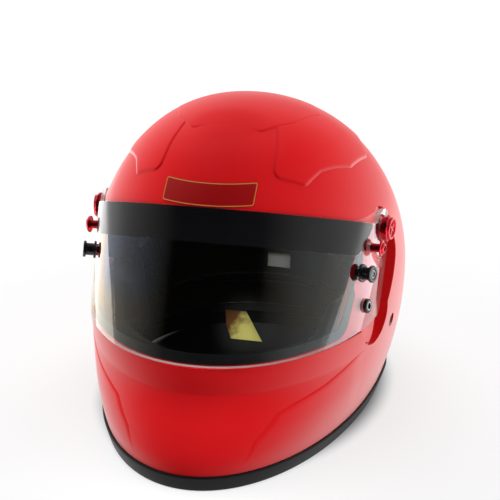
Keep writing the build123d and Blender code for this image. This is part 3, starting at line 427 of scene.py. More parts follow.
def vertex_points(obj):
    """A mesh's vertices in drawing millimetres."""
    return read(obj.data.vertices, "co", width=3).reshape(-1, 3) / MM - (0, SHIFT, 0)


def face_kinds(obj):
    """Name of each face's material."""
    return np.array([m.name for m in obj.data.materials])[read(obj.data.polygons, "material_index", int)]


def set_normals(obj, rules):
    """Gives each corner the exact normal of the surface that its face lies on, by a rule for each material that maps
    points to normals."""
    mesh = obj.data
    points = vertex_points(obj)[read(mesh.loops, "vertex_index", int)]
    totals = read(mesh.polygons, "loop_total", int)
    normals = np.repeat(read(mesh.polygons, "normal", width=3).reshape(-1, 3), totals, 0)
    kinds = np.repeat(face_kinds(obj), totals)
    for kind, rule in rules.items():
        chosen = kinds == kind
        if chosen.any():
            exact = rule(points[chosen])
            same = np.sum(exact * normals[chosen], -1, keepdims=True)
            normals[chosen] = np.where(same < 0, -exact, exact)
    mesh.normals_split_custom_set(normals.tolist())


def retag(obj, mapping, materials):
    """Replaces a mesh's materials: mapping gives the new slot of each old material name."""
    kinds = face_kinds(obj)
    index = np.zeros(len(kinds), int)
    for name, place in mapping.items():
        index[kinds == name] = place
    obj.data.materials.clear()
    for material in materials:
        obj.data.materials.append(material)
    obj.data.polygons.foreach_set("material_index", index)


# ---------------------------------------------------------------- materials

def new_material(name):
    """An empty material with its output, and its tree."""
    material = bpy.data.materials.new(name)
    material.use_nodes = True
    tree = material.node_tree
    tree.nodes.clear()
    output = tree.nodes.new("ShaderNodeOutputMaterial")
    return material, tree, output


def node(tree, kind, inputs=None, **settings):
    """Adds a node, sets its properties and fills or links its inputs."""
    made = tree.nodes.new(kind)
    for key, value in settings.items():
        setattr(made, key, value)
    for key, value in (inputs or {}).items():
        if isinstance(value, bpy.types.NodeSocket):
            tree.links.new(value, made.inputs[key])
        else:
            made.inputs[key].default_value = value
    return made


def ramp(tree, factor, stops):
    """A colour ramp with its stops."""
    made = tree.nodes.new("ShaderNodeValToRGB")
    tree.links.new(factor, made.inputs["Fac"])
    band = made.color_ramp
    while len(band.elements) < len(stops):
        band.elements.new(0.5)
    for element, (place, colour) in zip(band.elements, stops):
        element.position, element.color = place, colour
    return made.outputs["Color"]


def object_place(tree):
    """A point's place in its object."""
    return node(tree, "ShaderNodeTexCoord").outputs["Object"]


def calc(tree, operation, *values, clamp=False):
    """The result of a sum on numbers or sockets."""
    return node(tree, "ShaderNodeMath", dict(enumerate(values)), operation=operation, use_clamp=clamp).outputs[0]


def remap(tree, value, low, high, to_low=0.0, to_high=1.0):
    """A value taken from one range to another."""
    return node(tree, "ShaderNodeMapRange", {"Value": value, "From Min": low, "From Max": high, "To Min": to_low,
                                             "To Max": to_high}).outputs["Result"]


def noise(tree, place, scale, detail=2.0):
    """Soft noise."""
    return node(tree, "ShaderNodeTexNoise", {"Vector": place, "Scale": scale, "Detail": detail}).outputs["Fac"]


def bump(tree, height, strength, distance):
    """Normal of a fine relief."""
    return node(tree, "ShaderNodeBump", {"Height": height, "Strength": strength,
                                         "Distance": distance}).outputs["Normal"]


def solid(colour):
    """An opaque colour."""
    return (*colour, 1)


def finish_material(tree, output, shader):
    """Links a shader to the output."""
    tree.links.new(shader, output.inputs["Surface"])


def principled(material, tree, output, inputs):
    """Gives a material its principled shader, and returns it."""
    finish_material(tree, output, node(tree, "ShaderNodeBsdfPrincipled", inputs).outputs["BSDF"])
    return material


def grey(value):
    """An opaque grey."""
    return (value, value, value, 1)


def shell_paint(settings):
    """Satin red paint: fine orange peel, faint colour drift, eased edges and a painted sheen: the base colour turns
    pale pink where a side flank is seen at a slant, in place of the haze that the bright studio throws on satin paint."""
    material, tree, output = new_material("shell_paint")
    place = object_place(tree)
    peel = noise(tree, place, 420.0, 2.0)
    drift = noise(tree, place, 9.0, 3.0)
    red = settings.shell_colour
    deep = tuple(c * 0.93 for c in red) + (1,)
    colour = ramp(tree, drift, [(0.35, deep), (0.7, solid(red))])
    # Painted sheen: the base colour is mixed towards pale pink on side flanks seen at a slant, standing in for
    # reflected haze.
    slant = node(tree, "ShaderNodeLayerWeight", {"Blend": 0.5}).outputs["Facing"]
    slant = calc(tree, "POWER", slant, 1.5)
    flank = node(tree, "ShaderNodeSeparateXYZ", {"Vector": tree.nodes.new("ShaderNodeNewGeometry").outputs["Normal"]})
    upright = calc(tree, "MULTIPLY_ADD", flank.outputs["Z"], -1.15, 0.88, clamp=True)
    flank = calc(tree, "ABSOLUTE", flank.outputs["X"])
    flank = calc(tree, "MULTIPLY", flank, upright)
    painted_sheen = calc(tree, "MULTIPLY", slant, flank)
    painted_sheen = calc(tree, "MULTIPLY", painted_sheen, 0.9, clamp=True)
    colour = node(tree, "ShaderNodeMix", {0: painted_sheen, 6: colour, 7: (0.95, 0.50, 0.50, 1)}, data_type="RGBA").outputs[2]
    rough = remap(tree, drift, 0.3, 0.7, settings.shell_roughness - 0.015, settings.shell_roughness + 0.015)
    edge = node(tree, "ShaderNodeBevel", {"Radius": 0.0012}, samples=6).outputs["Normal"]
    normal = node(tree, "ShaderNodeBump", {"Height": peel, "Strength": 0.05, "Distance": 0.0004,
                                           "Normal": edge}).outputs["Normal"]
    return principled(material, tree, output, {"Base Color": colour, "Roughness": rough, "Normal": normal, "IOR": 1.5,
                                               "Specular IOR Level": 0.14, "Specular Tint": (1.0, 0.10, 0.11, 1)})


def plain_finish(name, colour, roughness, metallic=0.0, grain=600.0, grain_depth=0.00004, drift=0.1, coat=0.0,
                 specular=0.5, sheen=0.0):
    """A moulded or machined finish: fine grain as bump and a slow drift of colour and gloss."""
    material, tree, output = new_material(name)
    place = object_place(tree)
    fine = noise(tree, place, grain, 3.0)
    slow = noise(tree, place, 30.0, 2.0)
    dark = tuple(c * (1 - drift) for c in colour) + (1,)
    light = tuple(min(1.0, c * (1 + drift)) for c in colour) + (1,)
    tone = ramp(tree, slow, [(0.3, dark), (0.7, light)])
    rough = remap(tree, fine, 0.3, 0.7, max(0.02, roughness - 0.04), roughness + 0.04)
    normal = bump(tree, fine, 0.5, grain_depth)
    return principled(material, tree, output, {"Base Color": tone, "Roughness": rough, "Normal": normal,
                                               "Metallic": metallic, "Coat Weight": coat, "Coat Roughness": 0.15,
                                               "Specular IOR Level": specular, "Sheen Weight": sheen})


def cloth(name, colour, scale=900.0, sheen=0.35):
    """Knitted liner cloth: small rounded stitches as bump with a soft nap."""
    material, tree, output = new_material(name)
    place = object_place(tree)
    weave = node(tree, "ShaderNodeTexVoronoi", {"Vector": place, "Scale": scale,
                                                "Randomness": 0.6}).outputs["Distance"]
    nap = noise(tree, place, 60.0, 4.0)
    tone = ramp(tree, nap, [(0.3, tuple(c * 0.7 for c in colour) + (1,)), (0.7, solid(colour))])
    normal = bump(tree, weave, 0.6, 0.0003)
    return principled(material, tree, output, {"Base Color": tone, "Roughness": 0.9, "Normal": normal,
                                               "Sheen Weight": sheen, "Sheen Roughness": 0.4})


def bead_foam():
    """Moulded bead foam: pale-edged cells."""
    material, tree, output = new_material("bead_foam")
    place = object_place(tree)
    cells = node(tree, "ShaderNodeTexVoronoi", {"Vector": place, "Scale": 320.0}).outputs["Distance"]
    tone = ramp(tree, cells, [(0.0, grey(0.05)), (0.7, grey(0.018))])
    normal = bump(tree, cells, 0.5, -0.0006)
    return principled(material, tree, output, {"Base Color": tone, "Roughness": 0.75, "Normal": normal})


def clear_sheet(settings):
    """Clear coated plastic: mostly see-through, with a mirror part that grows at grazing angles and a film tint."""
    material, tree, output = new_material("clear_sheet")
    place = object_place(tree)
    film = noise(tree, place, 7.0, 2.0)
    tint = ramp(tree, film, [(0.32, (0.74, 0.84, 1.0, 1)), (0.42, (1.0, 0.90, 0.74, 1)), (0.52, (0.92, 0.97, 0.94, 1)),
                             (0.68, (0.74, 0.82, 1.0, 1))])
    smear = noise(tree, place, 40.0, 4.0)
    rough = remap(tree, smear, 0.3, 0.75, 0.03, 0.07)
    gloss = node(tree, "ShaderNodeBsdfGlossy", {"Color": tint, "Roughness": rough})
    through = node(tree, "ShaderNodeBsdfTransparent", {"Color": solid(settings.shield_tint)})
    edge = node(tree, "ShaderNodeFresnel", {"IOR": 1.58}).outputs["Fac"]
    behind = tree.nodes.new("ShaderNodeNewGeometry").outputs["Backfacing"]
    front = calc(tree, "SUBTRACT", 1.0, behind)
    edge = calc(tree, "MULTIPLY", edge, front)
    edge = calc(tree, "MULTIPLY", edge, 1.5, clamp=True)
    mix = node(tree, "ShaderNodeMixShader", {"Fac": edge, 1: through.outputs[0], 2: gloss.outputs[0]})
    finish_material(tree, output, mix.outputs[0])
    return material


def clear_edge():
    """Sawn and polished rim of the clear sheet, coloured milky white: a painted highlight for the light that the
    polished edge catches.
    """
    material, tree, output = new_material("clear_edge")
    place = object_place(tree)
    saw = noise(tree, place, 300.0, 2.0)
    normal = bump(tree, saw, 0.3, 0.0001)
    # Painted highlight: the near-white base colour makes the rim read bright.
    return principled(material, tree, output, {"Base Color": (0.95, 0.96, 0.97, 1), "Roughness": 0.2,
                                               "Normal": normal, "Transmission Weight": 0.4, "IOR": 1.3,
                                               "Alpha": 0.55})


def stripe_plate(name, colour, line, half_width, half_height, corner):
    """A bare printed plate with one thin pale line round it, drawn from the plate's own map in millimetres."""
    material, tree, output = new_material(name)
    uv = node(tree, "ShaderNodeUVMap", uv_map="plate").outputs["UV"]
    split = node(tree, "ShaderNodeSeparateXYZ", {"Vector": uv})
    parts = []
    for axis, half in (("X", half_width), ("Y", half_height)):
        size = calc(tree, "ABSOLUTE", split.outputs[axis])
        parts.append(calc(tree, "SUBTRACT", size, half - corner))
    outside = [calc(tree, "MAXIMUM", p, 0.0) for p in parts]
    both = node(tree, "ShaderNodeCombineXYZ", {"X": outside[0], "Y": outside[1]}).outputs["Vector"]
    length = node(tree, "ShaderNodeVectorMath", {0: both}, operation="LENGTH").outputs["Value"]
    inner = calc(tree, "MAXIMUM", parts[0], parts[1])
    inner = calc(tree, "MINIMUM", inner, 0.0)
    distance = calc(tree, "ADD", length, inner)
    distance = calc(tree, "SUBTRACT", distance, corner - 0.65)
    distance = calc(tree, "ABSOLUTE", distance)
    tone = ramp(tree, distance, [(0.22, solid(line)), (0.34, solid(colour))])
    place = object_place(tree)
    fine = noise(tree, place, 500.0)
    normal = bump(tree, fine, 0.1, 0.0001)
    return principled(material, tree, output, {"Base Color": tone, "Roughness": 0.34, "Normal": normal,
                                               "Specular IOR Level": 0.25})


def webbing():
    """Woven strap: ribs across and a herringbone along, from the strap's own map in millimetres."""
    material, tree, output = new_material("webbing")
    uv = node(tree, "ShaderNodeUVMap", uv_map="strap").outputs["UV"]
    along = node(tree, "ShaderNodeMapping", {"Vector": uv, "Scale": (1.0, 0.25, 1.0)}).outputs["Vector"]
    rib = node(tree, "ShaderNodeTexWave", {"Vector": along, "Scale": 0.55, "Distortion": 0.4}).outputs["Fac"]
    cross = node(tree, "ShaderNodeTexWave", {"Vector": uv, "Scale": 0.35, "Distortion": 1.0},
                 bands_direction="DIAGONAL").outputs["Fac"]
    weave = calc(tree, "MULTIPLY", rib, cross)
    tone = ramp(tree, weave, [(0.0, grey(0.010)), (0.8, grey(0.035))])
    normal = bump(tree, weave, 0.8, 0.0004)
    return principled(material, tree, output, {"Base Color": tone, "Roughness": 0.75, "Normal": normal,
                                               "Sheen Weight": 0.2})


# ---------------------------------------------------------------- shell

def form_solid(name, grow, low, columns, rows, material):
    """The helmet's form as a closed mesh: level rings from a low level to near the crown, closed by a fan."""
    top = CROWN_TOP + grow
    lower = np.linspace(low, WIDEST_Z, rows // 3)
    upper = WIDEST_Z + (top - WIDEST_Z) * np.sin(np.linspace(0, math.radians(89.3), rows - rows // 3))
    heights = np.concatenate([lower, upper[1:]])
    turns = np.linspace(0, 2 * math.pi, columns, endpoint=False)
    points = form_point(turns[None, :], heights[:, None], grow).reshape(-1, 3)
    faces = grid_faces(len(heights), columns, wrap_columns=True).tolist()
    faces += fan(len(points) - columns, columns, len(points)) + [list(range(columns - 1, -1, -1))]
    return make(name, np.concatenate([points, [(0, APEX_Y, top)]]), faces, body=None, smooth=False, material=material)


def recess_cutter(gap, grow, marks, columns):
    """What is cut for the shield: its outline with a margin, the room above it and the scoop, down to the floor."""
    rise = RECESS_HEADROOM / math.cos(LEAN) + grow
    sheet = rounded([(-REACH, level_z(-REACH)), (PIVOT_Y, level_z(PIVOT_Y)), (PIVOT_Y + EAR_RADIUS, PIVOT_Z),
                     EAR_HEEL, SHIELD_HEEL, (-REACH, SHIELD_BOTTOM_Z)], [0, 0, 0, *HEEL_RADII, 0])
    ear = circle(PIVOT, EAR_RADIUS + RECESS_MARGIN + grow, 96)
    room = np.array([(-REACH, level_z(-REACH) + rise), (PIVOT_Y, level_z(PIVOT_Y) + rise),
                     (PIVOT_Y, PIVOT_Z - 1), (-REACH, PIVOT_Z - 1)])
    tool = prism("cutter", grown(sheet, RECESS_MARGIN + grow), -REACH, REACH, marks["wall"])
    for name, outline, reach in (("ear", ear, REACH + 3), ("room", room, REACH + 1),
                                 ("scoop", circle(SCOOP_CENTRE, SCOOP_RADIUS + grow, 72), REACH + 2)):
        combine(tool, prism(name, outline, -reach, reach, marks["wall"]), "UNION")
    x, back = plan_curve(SHIELD_THICKNESS + gap, columns)
    x = np.concatenate([x, [x[-1], x[0]]])
    back = np.concatenate([back, [back[-1] + REACH, back[0] + REACH]])
    combine(tool, lean_solid("core", x, back, -2 * REACH, REACH, marks["floor"]))
    for side in (-1, 1):
        edges = sorted((side * (PAD_X - gap + RECESS_GAP), side * (REACH + 3)))
        combine(tool, prism("pad", ear, *edges, marks["pad"]), "UNION")
    return tool


def new_marks(*kinds):
    """Materials that mark what each face of a solid came from until it gets its own."""
    return {kind: bpy.data.materials.new("mark_" + kind) for kind in kinds}


def finish_cut(obj, rules, places, materials, marks):
    """Gives a cut solid its exact normals and its own materials, and removes the marks."""
    obj.data.set_sharp_from_angle(angle=math.radians(32))
    set_normals(obj, rules)
    retag(obj, places, materials)
    for mark in marks.values():
        bpy.data.materials.remove(mark)


def build_shell(settings):
    """Painted shell: the form cut by recess, hollow, eyeport and the hardware's holes. Returns its paint."""
    marks = new_marks("out", "in", "floor", "wall", "pad")
    columns, rows = ((360, 180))
    shell = form_solid("helmet_shell", 0.0, TRIM_THICKNESS, columns, rows, marks["out"])
    combine(shell, recess_cutter(RECESS_GAP, 0.0, marks, 60))
    hollow = form_solid("hollow", -SHELL_WALL, -5.0, columns // 2, rows // 2, marks["in"])
    combine(hollow, recess_cutter(RECESS_GAP + SHELL_WALL, SHELL_WALL, marks, 40))
    combine(shell, hollow)
    holes = [circle(centre, radius, 48) for centre, radius in ((PIVOT, 5.0), (GUIDE, 3.4), (ANCHOR, 5.6))]
    for outline in (eyeport_outline(), *holes):
        combine(shell, prism("hole", outline, -REACH, REACH, marks["wall"]))
    paint = shell_paint(settings)
    raw = plain_finish("raw_inside", (0.022, 0.022, 0.023), 0.75, grain=250.0, grain_depth=0.0002)
    finish_cut(shell, {"mark_out": lambda p: form_normal(p, 0.0), "mark_in": lambda p: form_normal(p, -SHELL_WALL),
                       "mark_floor": shield_normal},
               {"mark_out": 0, "mark_floor": 0, "mark_wall": 0, "mark_pad": 0, "mark_in": 1}, [paint, raw], marks)
    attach(shell, "helmet")
    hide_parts("outer_shell")
    return paint


def form_top(x, y):
    """Height of the form above a place in plan, by halving."""
    low, high = np.full(np.shape(x), WIDEST_Z), np.full(np.shape(x), CROWN_TOP)
    for _ in range(30):
        middle = (low + high) / 2
        inside = form_level(np.stack([x, y, middle], -1), 0.0) < 0
        low, high = np.where(inside, middle, low), np.where(inside, high, middle)
    return (low + high) / 2


def smooth_step(t):
    """Eases from 0 to 1."""
    t = np.clip(t, 0, 1)
    return t * t * (3 - 2 * t)


def panel_rings(outline, centre, border, inner_rings):
    """Rings of a panel in plan, and each ring's depth: its outline moved inward over the border, then scaled to its
    middle."""
    steps = np.concatenate([[-PANEL_SKIRT, 0.0], np.linspace(0, border, 9)[1:], [border + 1.5]])
    rings = [grown(outline, -d) for d in steps]
    shares = np.linspace(1, 0, inner_rings + 1)[1:-1]
    rings += [centre + (rings[-1] - centre) * share for share in shares]
    return np.array(rings), np.concatenate([steps, np.full(len(shares), border + 2)])


def panel_lift(rise, depth, border):
    """Height of a panel above the form: from just under it at the skirt to the full rise past the border."""
    return -PANEL_ROOT + (rise + PANEL_ROOT) * smooth_step((depth + PANEL_SKIRT) / (border + PANEL_SKIRT))


def raised_panel(name, outline, centre, rise_at, paint, border=2.4):
    """A raised crown panel: its outline's rings lie on the form, lifted from just under it to the full rise."""
    rings, depth = panel_rings(outline, np.asarray(centre), border, 16)
    flat = np.concatenate([rings.reshape(-1, 2), [centre]])
    depth = np.concatenate([np.repeat(depth, len(outline)), [border + 2]])
    base = np.column_stack([flat, form_top(flat[:, 0], flat[:, 1])])
    normal = form_normal(base, 0.0)
    top = base + normal * panel_lift(rise_at(base, normal), depth, border)[:, None]
    n, total = len(outline), len(top)
    faces = grid_faces(len(rings), n, wrap_columns=True).tolist() + fan(total - 1 - n, n, total - 1)
    back = [[i + total for i in f[::-1]] for f in faces]
    rim = [[j, total + j, total + (j + 1) % n, (j + 1) % n] for j in range(n)]
    obj = make(name, np.concatenate([top, base - normal * PANEL_DEPTH]), faces + back + rim, material=paint)
    recalculate(obj, sharp=60)


def build_crown(paint):
    """The two raised side panels and the raised top panel of the crown."""
    wing = densify(grown(rounded(WING, [4, 4, 4, 5, 8, 12, 16, 16, 20], 12), 1.1), 1.5)

    def wing_rise(base, normal):
        return PANEL_RISE * np.hypot(normal[:, 0], normal[:, 1])

    for name, side in (("crown_wing_left", 1), ("crown_wing_right", -1)):
        raised_panel(name, (wing * (side, 1))[::side], (side * 62.0, -8.0), wing_rise, paint)
    half = TOP_HALF[1:-1]
    top = np.concatenate([half, half[::-1] * (-1, 1)])
    top = densify(grown(rounded(top, [6] * len(top), 12), 1.1), 1.5)

    def top_rise(base, normal):
        middle = 1 - smooth_step((np.abs(base[:, 0]) - 16) / 18)
        front = 1 - smooth_step((base[:, 1] + 56) / 26)
        return TOP_RISE * (1 - middle * front)

    raised_panel("crown_top_panel", top, (0.0, 0.0), top_rise, paint)


def build_chin_panels(paint):
    """The raised lower side panels of the chin bar: columns from the trim up to the crease, all round their turn."""
    crease = rounded(np.concatenate([CHIN_LINE, [(-178.0, -60.0), (-60.0, -60.0)]]), [0, 8, 14, 14, 10, 14, 0, 0, 0],
                     10)
    y, z = spread(crease[:-2], 150)[0].T
    _, front, _, station = form_sizes(z, 0.0)
    turn = np.minimum.accumulate(-np.arcsin(np.clip((station - y) / (station - front), -1, 1)))
    low = TRIM_HEIGHT - 0.4
    border = 3.4
    drops = np.concatenate([[-PANEL_SKIRT, 0.0], np.linspace(0, border, 9)[1:]])
    columns = [np.concatenate([top - drops, np.linspace(top - border, min(low, top - border - 0.5), 14)[1:]])
               for top in z]
    base = form_point(turn[:, None], np.array(columns), 0.0)
    normal = form_normal(base, 0.0)
    depth = np.broadcast_to(np.concatenate([drops, np.full(13, border)]), base.shape[:2])
    line = base[:, 1, 1:]
    crease_gap = np.min(np.linalg.norm(base[:, :, None, 1:] - line[None, None], axis=-1), -1)
    fade = smooth_step((-base[..., 1] - 62) / 22) * smooth_step((base[..., 2] - 17) / 26)
    rise = CHIN_RISE * (0.35 + 0.65 * np.abs(normal[..., 1])) * fade
    inward = np.minimum(depth + PANEL_SKIRT, crease_gap + PANEL_SKIRT * (depth > 0)) - PANEL_SKIRT
    top = base + normal * panel_lift(rise, inward, border)[..., None]
    under = base - normal * PANEL_DEPTH
    for name, side in (("chin_panel_left", 1), ("chin_panel_right", -1)):
        panel = slab(name, top * (side, 1, 1), under * (side, 1, 1), paint)
        recalculate(panel, sharp=60)


def swept_round(name, profile, columns, material):
    """A closed profile of growth and height carried once round the form."""
    turns = np.linspace(0, 2 * math.pi, columns, endpoint=False)
    profile = np.asarray(profile)
    points = form_point(turns[:, None], profile[None, :, 1], profile[None, :, 0]).reshape(-1, 3)
    obj = make(name, points, grid_faces(columns, len(profile), wrap_rows=True, wrap_columns=True).tolist(),
               material=material)
    recalculate(obj)
    return obj


def build_trim():
    """Rubber trim: a channel round the rim with rounded lips and a rounded foot."""
    rubber = plain_finish("trim_rubber", (0.006, 0.006, 0.006), 0.42, grain=900.0, grain_depth=0.00003, specular=0.2)
    t, wall = TRIM_THICKNESS, SHELL_WALL
    corners = [(0.0, TRIM_HEIGHT), (t, TRIM_HEIGHT), (t, 0.0), (-wall - t, 0.0), (-wall - t, TRIM_INNER_HEIGHT),
               (-wall, TRIM_INNER_HEIGHT), (-wall, t), (0.0, t)]
    profile = rounded(corners, [0.0, 1.5, 2.2, 2.2, 1.1, 0.0, 0.3, 0.3], 7)
    trim = swept_round("rim_trim", profile, 240, rubber)
    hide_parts("bottom_edge_trim")


# ---------------------------------------------------------------- shield

def angle_at_back(back):
    """Angle of the shield's own arcs at a distance back."""
    side = np.arccos(np.clip((SIDE_BACK - back) / SIDE_RADIUS, -1, 1))
    front = np.arccos(np.clip((FRONT_RADIUS - back) / FRONT_RADIUS, -1, 1))
    return np.where(side > FRONT_TURN, side, front)


def build_shield(settings):
    """Clear shield: the curved sheet within its side-view outline, with ear holes, arc slots and polished edges."""
    marks = new_marks("face", "wall")
    steps = 150
    outer, inner = plan_curve(0.0, steps), plan_curve(SHIELD_THICKNESS, steps)
    x, back = (np.concatenate([a, b[::-1]]) for a, b in zip(outer, inner))
    sheet = lean_solid("face_shield", x, back, -REACH, REACH, marks["face"])
    pivot, guide = np.array(PIVOT), np.array(GUIDE) - PIVOT
    radius = math.hypot(*guide)
    start = math.atan2(guide[1], guide[0]) % (2 * math.pi)
    end = start + SHIELD_TRAVEL
    first, last = (pivot + radius * np.array([math.cos(a), math.sin(a)]) for a in (start, end))
    slot = np.concatenate([arc_points(pivot, radius + SLOT_HALF, start, end, 40),
                           arc_points(last, SLOT_HALF, end, end + math.pi, 20)[1:-1],
                           arc_points(pivot, radius - SLOT_HALF, end, start, 40),
                           arc_points(first, SLOT_HALF, start - math.pi, start, 20)[1:-1]])
    for outline, operation in ((shield_outline(), "INTERSECT"), (circle(PIVOT, 7.0, 64), "DIFFERENCE"),
                               (slot, "DIFFERENCE")):
        combine(sheet, prism("tool", outline, -REACH, REACH, marks["wall"]), operation)
    finish_cut(sheet, {"mark_face": shield_normal}, {"mark_face": 0, "mark_wall": 1},
               [clear_sheet(settings), clear_edge()], marks)
    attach(sheet, "visor")
    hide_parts("shield")


def build_strip():
    """Sun strip: a film on the shield's face, its rear ends slanted and round-cornered."""
    film = plain_finish("strip_film", (0.006, 0.006, 0.007), 0.16, grain=1500.0, grain_depth=0.00001, drift=0.2)
    low, high = -STRIP_HEIGHT, -STRIP_DROP
    ups = np.concatenate([[low], np.linspace(low + 0.2, high - 0.2, 15), [high]])
    back_low, back_high = (lean_back_up(y, level_z(y, -up))[0] for y, up in zip(STRIP_ENDS_Y, (low, high)))
    end = back_low + (back_high - back_low) * (ups - low) / (high - low)
    radius = 5.0
    for edge, share in ((low, 0.5), (high, 1.0)):
        gap = np.abs(ups - edge)
        end -= share * np.where(gap < radius, radius - np.sqrt(np.clip(radius**2 - (radius - gap)**2, 0, None)), 0)
    angle = np.linspace(-1, 1, 161)[:, None] * angle_at_back(end)[None, :]
    top, under = (lean_place(*plan_at(angle, inset), ups) for inset in (-0.35, -0.1))
    strip = slab("sun_strip", top, under, film, "visor")
    recalculate(strip, sharp=40)
    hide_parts("shield_sun_strip")


# ---------------------------------------------------------------- lathe-turned and bent hardware

def lathe(name, profile, origin, axis, body, material, sides=96):
    """A profile of radius and height turned about an axis; one that starts on the axis is closed there by fans."""
    profile, origin = np.asarray(profile, float), np.asarray(origin)
    axis = np.asarray(axis, float) / np.linalg.norm(axis)
    first = np.cross(axis, (0, 0, 1.0))
    first /= np.linalg.norm(first)
    second = np.cross(axis, first)
    turn = np.linspace(0, 2 * math.pi, sides, endpoint=False)
    outward = np.cos(turn)[:, None] * first + np.sin(turn)[:, None] * second
    open_ends = profile[0, 0] <= 1e-6
    wall = profile[1:-1] if open_ends else profile
    n = len(wall)
    points = (origin + wall[None, :, :1] * outward[:, None, :] + wall[None, :, 1:] * axis).reshape(-1, 3)
    faces = grid_faces(sides, n, wrap_rows=True, wrap_columns=not open_ends).tolist()
    if open_ends:
        tip = len(points)
        points = np.concatenate([points, [origin + axis * profile[0, 1], origin + axis * profile[-1, 1]]])
        for i in range(sides):
            j = (i + 1) % sides
            faces += [[i * n, tip, j * n], [i * n + n - 1, j * n + n - 1, tip + 1]]
    obj = make(name, points, faces, body=body, material=material)
    recalculate(obj, sharp=40)
    return obj


def tube(name, path, radius, body, material, sides=20):
    """A round wire along a closed level path."""
    along = np.roll(path, -1, 0) - np.roll(path, 1, 0)
    along /= np.linalg.norm(along, axis=1, keepdims=True)
    up = np.array((0, 0, 1.0))
    out = np.cross(along, up)
    turn = np.linspace(0, 2 * math.pi, sides, endpoint=False)
    points = path[:, None] + radius * (np.cos(turn)[None, :, None] * out[:, None] + np.sin(turn)[None, :, None] * up)
    obj = make(name, points.reshape(-1, 3), grid_faces(len(path), sides, wrap_rows=True, wrap_columns=True).tolist(),
               body=body, material=material)
    recalculate(obj)
    return obj


def shield_seat(y, z, side=1):
    """Place and outward direction on the shield's face at a place in the side view."""
    back, _ = lean_back_up(y, z)
    x = SIDE_X + SIDE_RADIUS if back >= SIDE_BACK else SIDE_X + math.sqrt(SIDE_RADIUS**2 - (SIDE_BACK - back)**2)
    place = np.array([x, y, z])
    return place * (side, 1, 1), shield_normal(place) * (side, 1, 1)


def build_posts():
    """Tear-off posts and the lock post, turned with rounded rims, and their bright end rings."""
    black = plain_finish("post_plastic", (0.010, 0.010, 0.011), 0.22, grain=1200.0, grain_depth=0.00001)
    silver = plain_finish("bright_ring", (0.42, 0.43, 0.44), 0.3, metallic=1.0, grain=2000.0, grain_depth=0.00001)
    spool = rounded([(0, 0.02), (7.0, 0.02), (7.0, 1.3), (4.9, 1.3), (4.9, 7.5), (6.6, 7.5), (6.6, 9.8), (4.3, 9.8),
                     (3.9, 9.2), (0, 9.2)], [0, 0.4, 0.5, 0.5, 0.5, 0.6, 0.8, 0.3, 0.3, 0], 6)
    spool_ring = rounded([(3.2, 9.0), (3.2, 9.7), (2.5, 9.7), (2.5, 9.0)], [0.1, 0.25, 0.25, 0.1], 5)
    button = rounded([(0, 0.02), (5.6, 0.02), (5.6, 3.0), (2.2, 3.0), (1.7, 1.4), (0, 1.4)],
                     [0, 0.3, 1.1, 0.2, 0.2, 0], 6)
    button_ring = rounded([(3.3, 2.4), (3.3, 3.1), (2.7, 3.1), (2.7, 2.4)], [0.05, 0.15, 0.15, 0.05], 5)
    for name, ring_name, cad_node, seat, profile, ring in (
            ("spool_post_left", "post_ring_left", "tear_off_post_left", (*POST, 1), spool, spool_ring),
            ("spool_post_right", "post_ring_right", "tear_off_post_right", (*POST, -1), spool, spool_ring),
            ("lock_button", "lock_ring", "shield_lock_post", (*LOCK, 1), button, button_ring)):
        place, axis = shield_seat(*seat)
        post = lathe(name, profile, place, axis, "visor", black)
        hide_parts(cad_node)
        lathe(ring_name, ring, place, axis, "visor", silver, sides=64)


def dial(name, height_at, radius_at, centre, side, materials, kind_at=None, rings=40, columns=192):
    """A round head on the X axis from polar rings: its face's height comes from radius and angle, its foot is flat, and
    each height grows by a lean towards the rear, so the face turns to the front."""
    turn = np.linspace(0, 2 * math.pi, columns, endpoint=False)[None, :]
    share = np.linspace(0, 1, rings + 1)[1:, None]
    radius = share * radius_at(turn, share)
    height = height_at(radius, turn)
    dy, dz = radius * np.cos(turn), radius * np.sin(turn)
    height = height * (1 + HEAD_LEAN * dy / radius_at(turn, np.ones_like(share)).max())
    x, y, z = centre
    face = np.stack(np.broadcast_arrays(x + height, y + dy, z + dz), -1)
    foot = face[-1:] * (0, 1, 1) + (x, 0, 0)
    points, faces = ringed(np.concatenate([face, foot]), [(x + float(height_at(0.0, 0.0)), y, z), (x, y, z)])
    obj = make(name, points * (side, 1, 1), faces)
    for material in materials:
        obj.data.materials.append(material)
    if kind_at is not None:
        middle_share = (share + np.concatenate([[[0.0]], share[:-1]])) / 2
        kinds = kind_at(middle_share[1:] * radius_at(turn, middle_share[1:]), turn + math.pi / columns)
        index = np.zeros(len(obj.data.polygons), int)
        index[:kinds.size] = kinds.ravel()
        index[rings * columns:(rings + 1) * columns] = int(kind_at(np.array(0.0), np.array(0.0)))
        obj.data.polygons.foreach_set("material_index", index)
    recalculate(obj, sharp=50)
    return obj


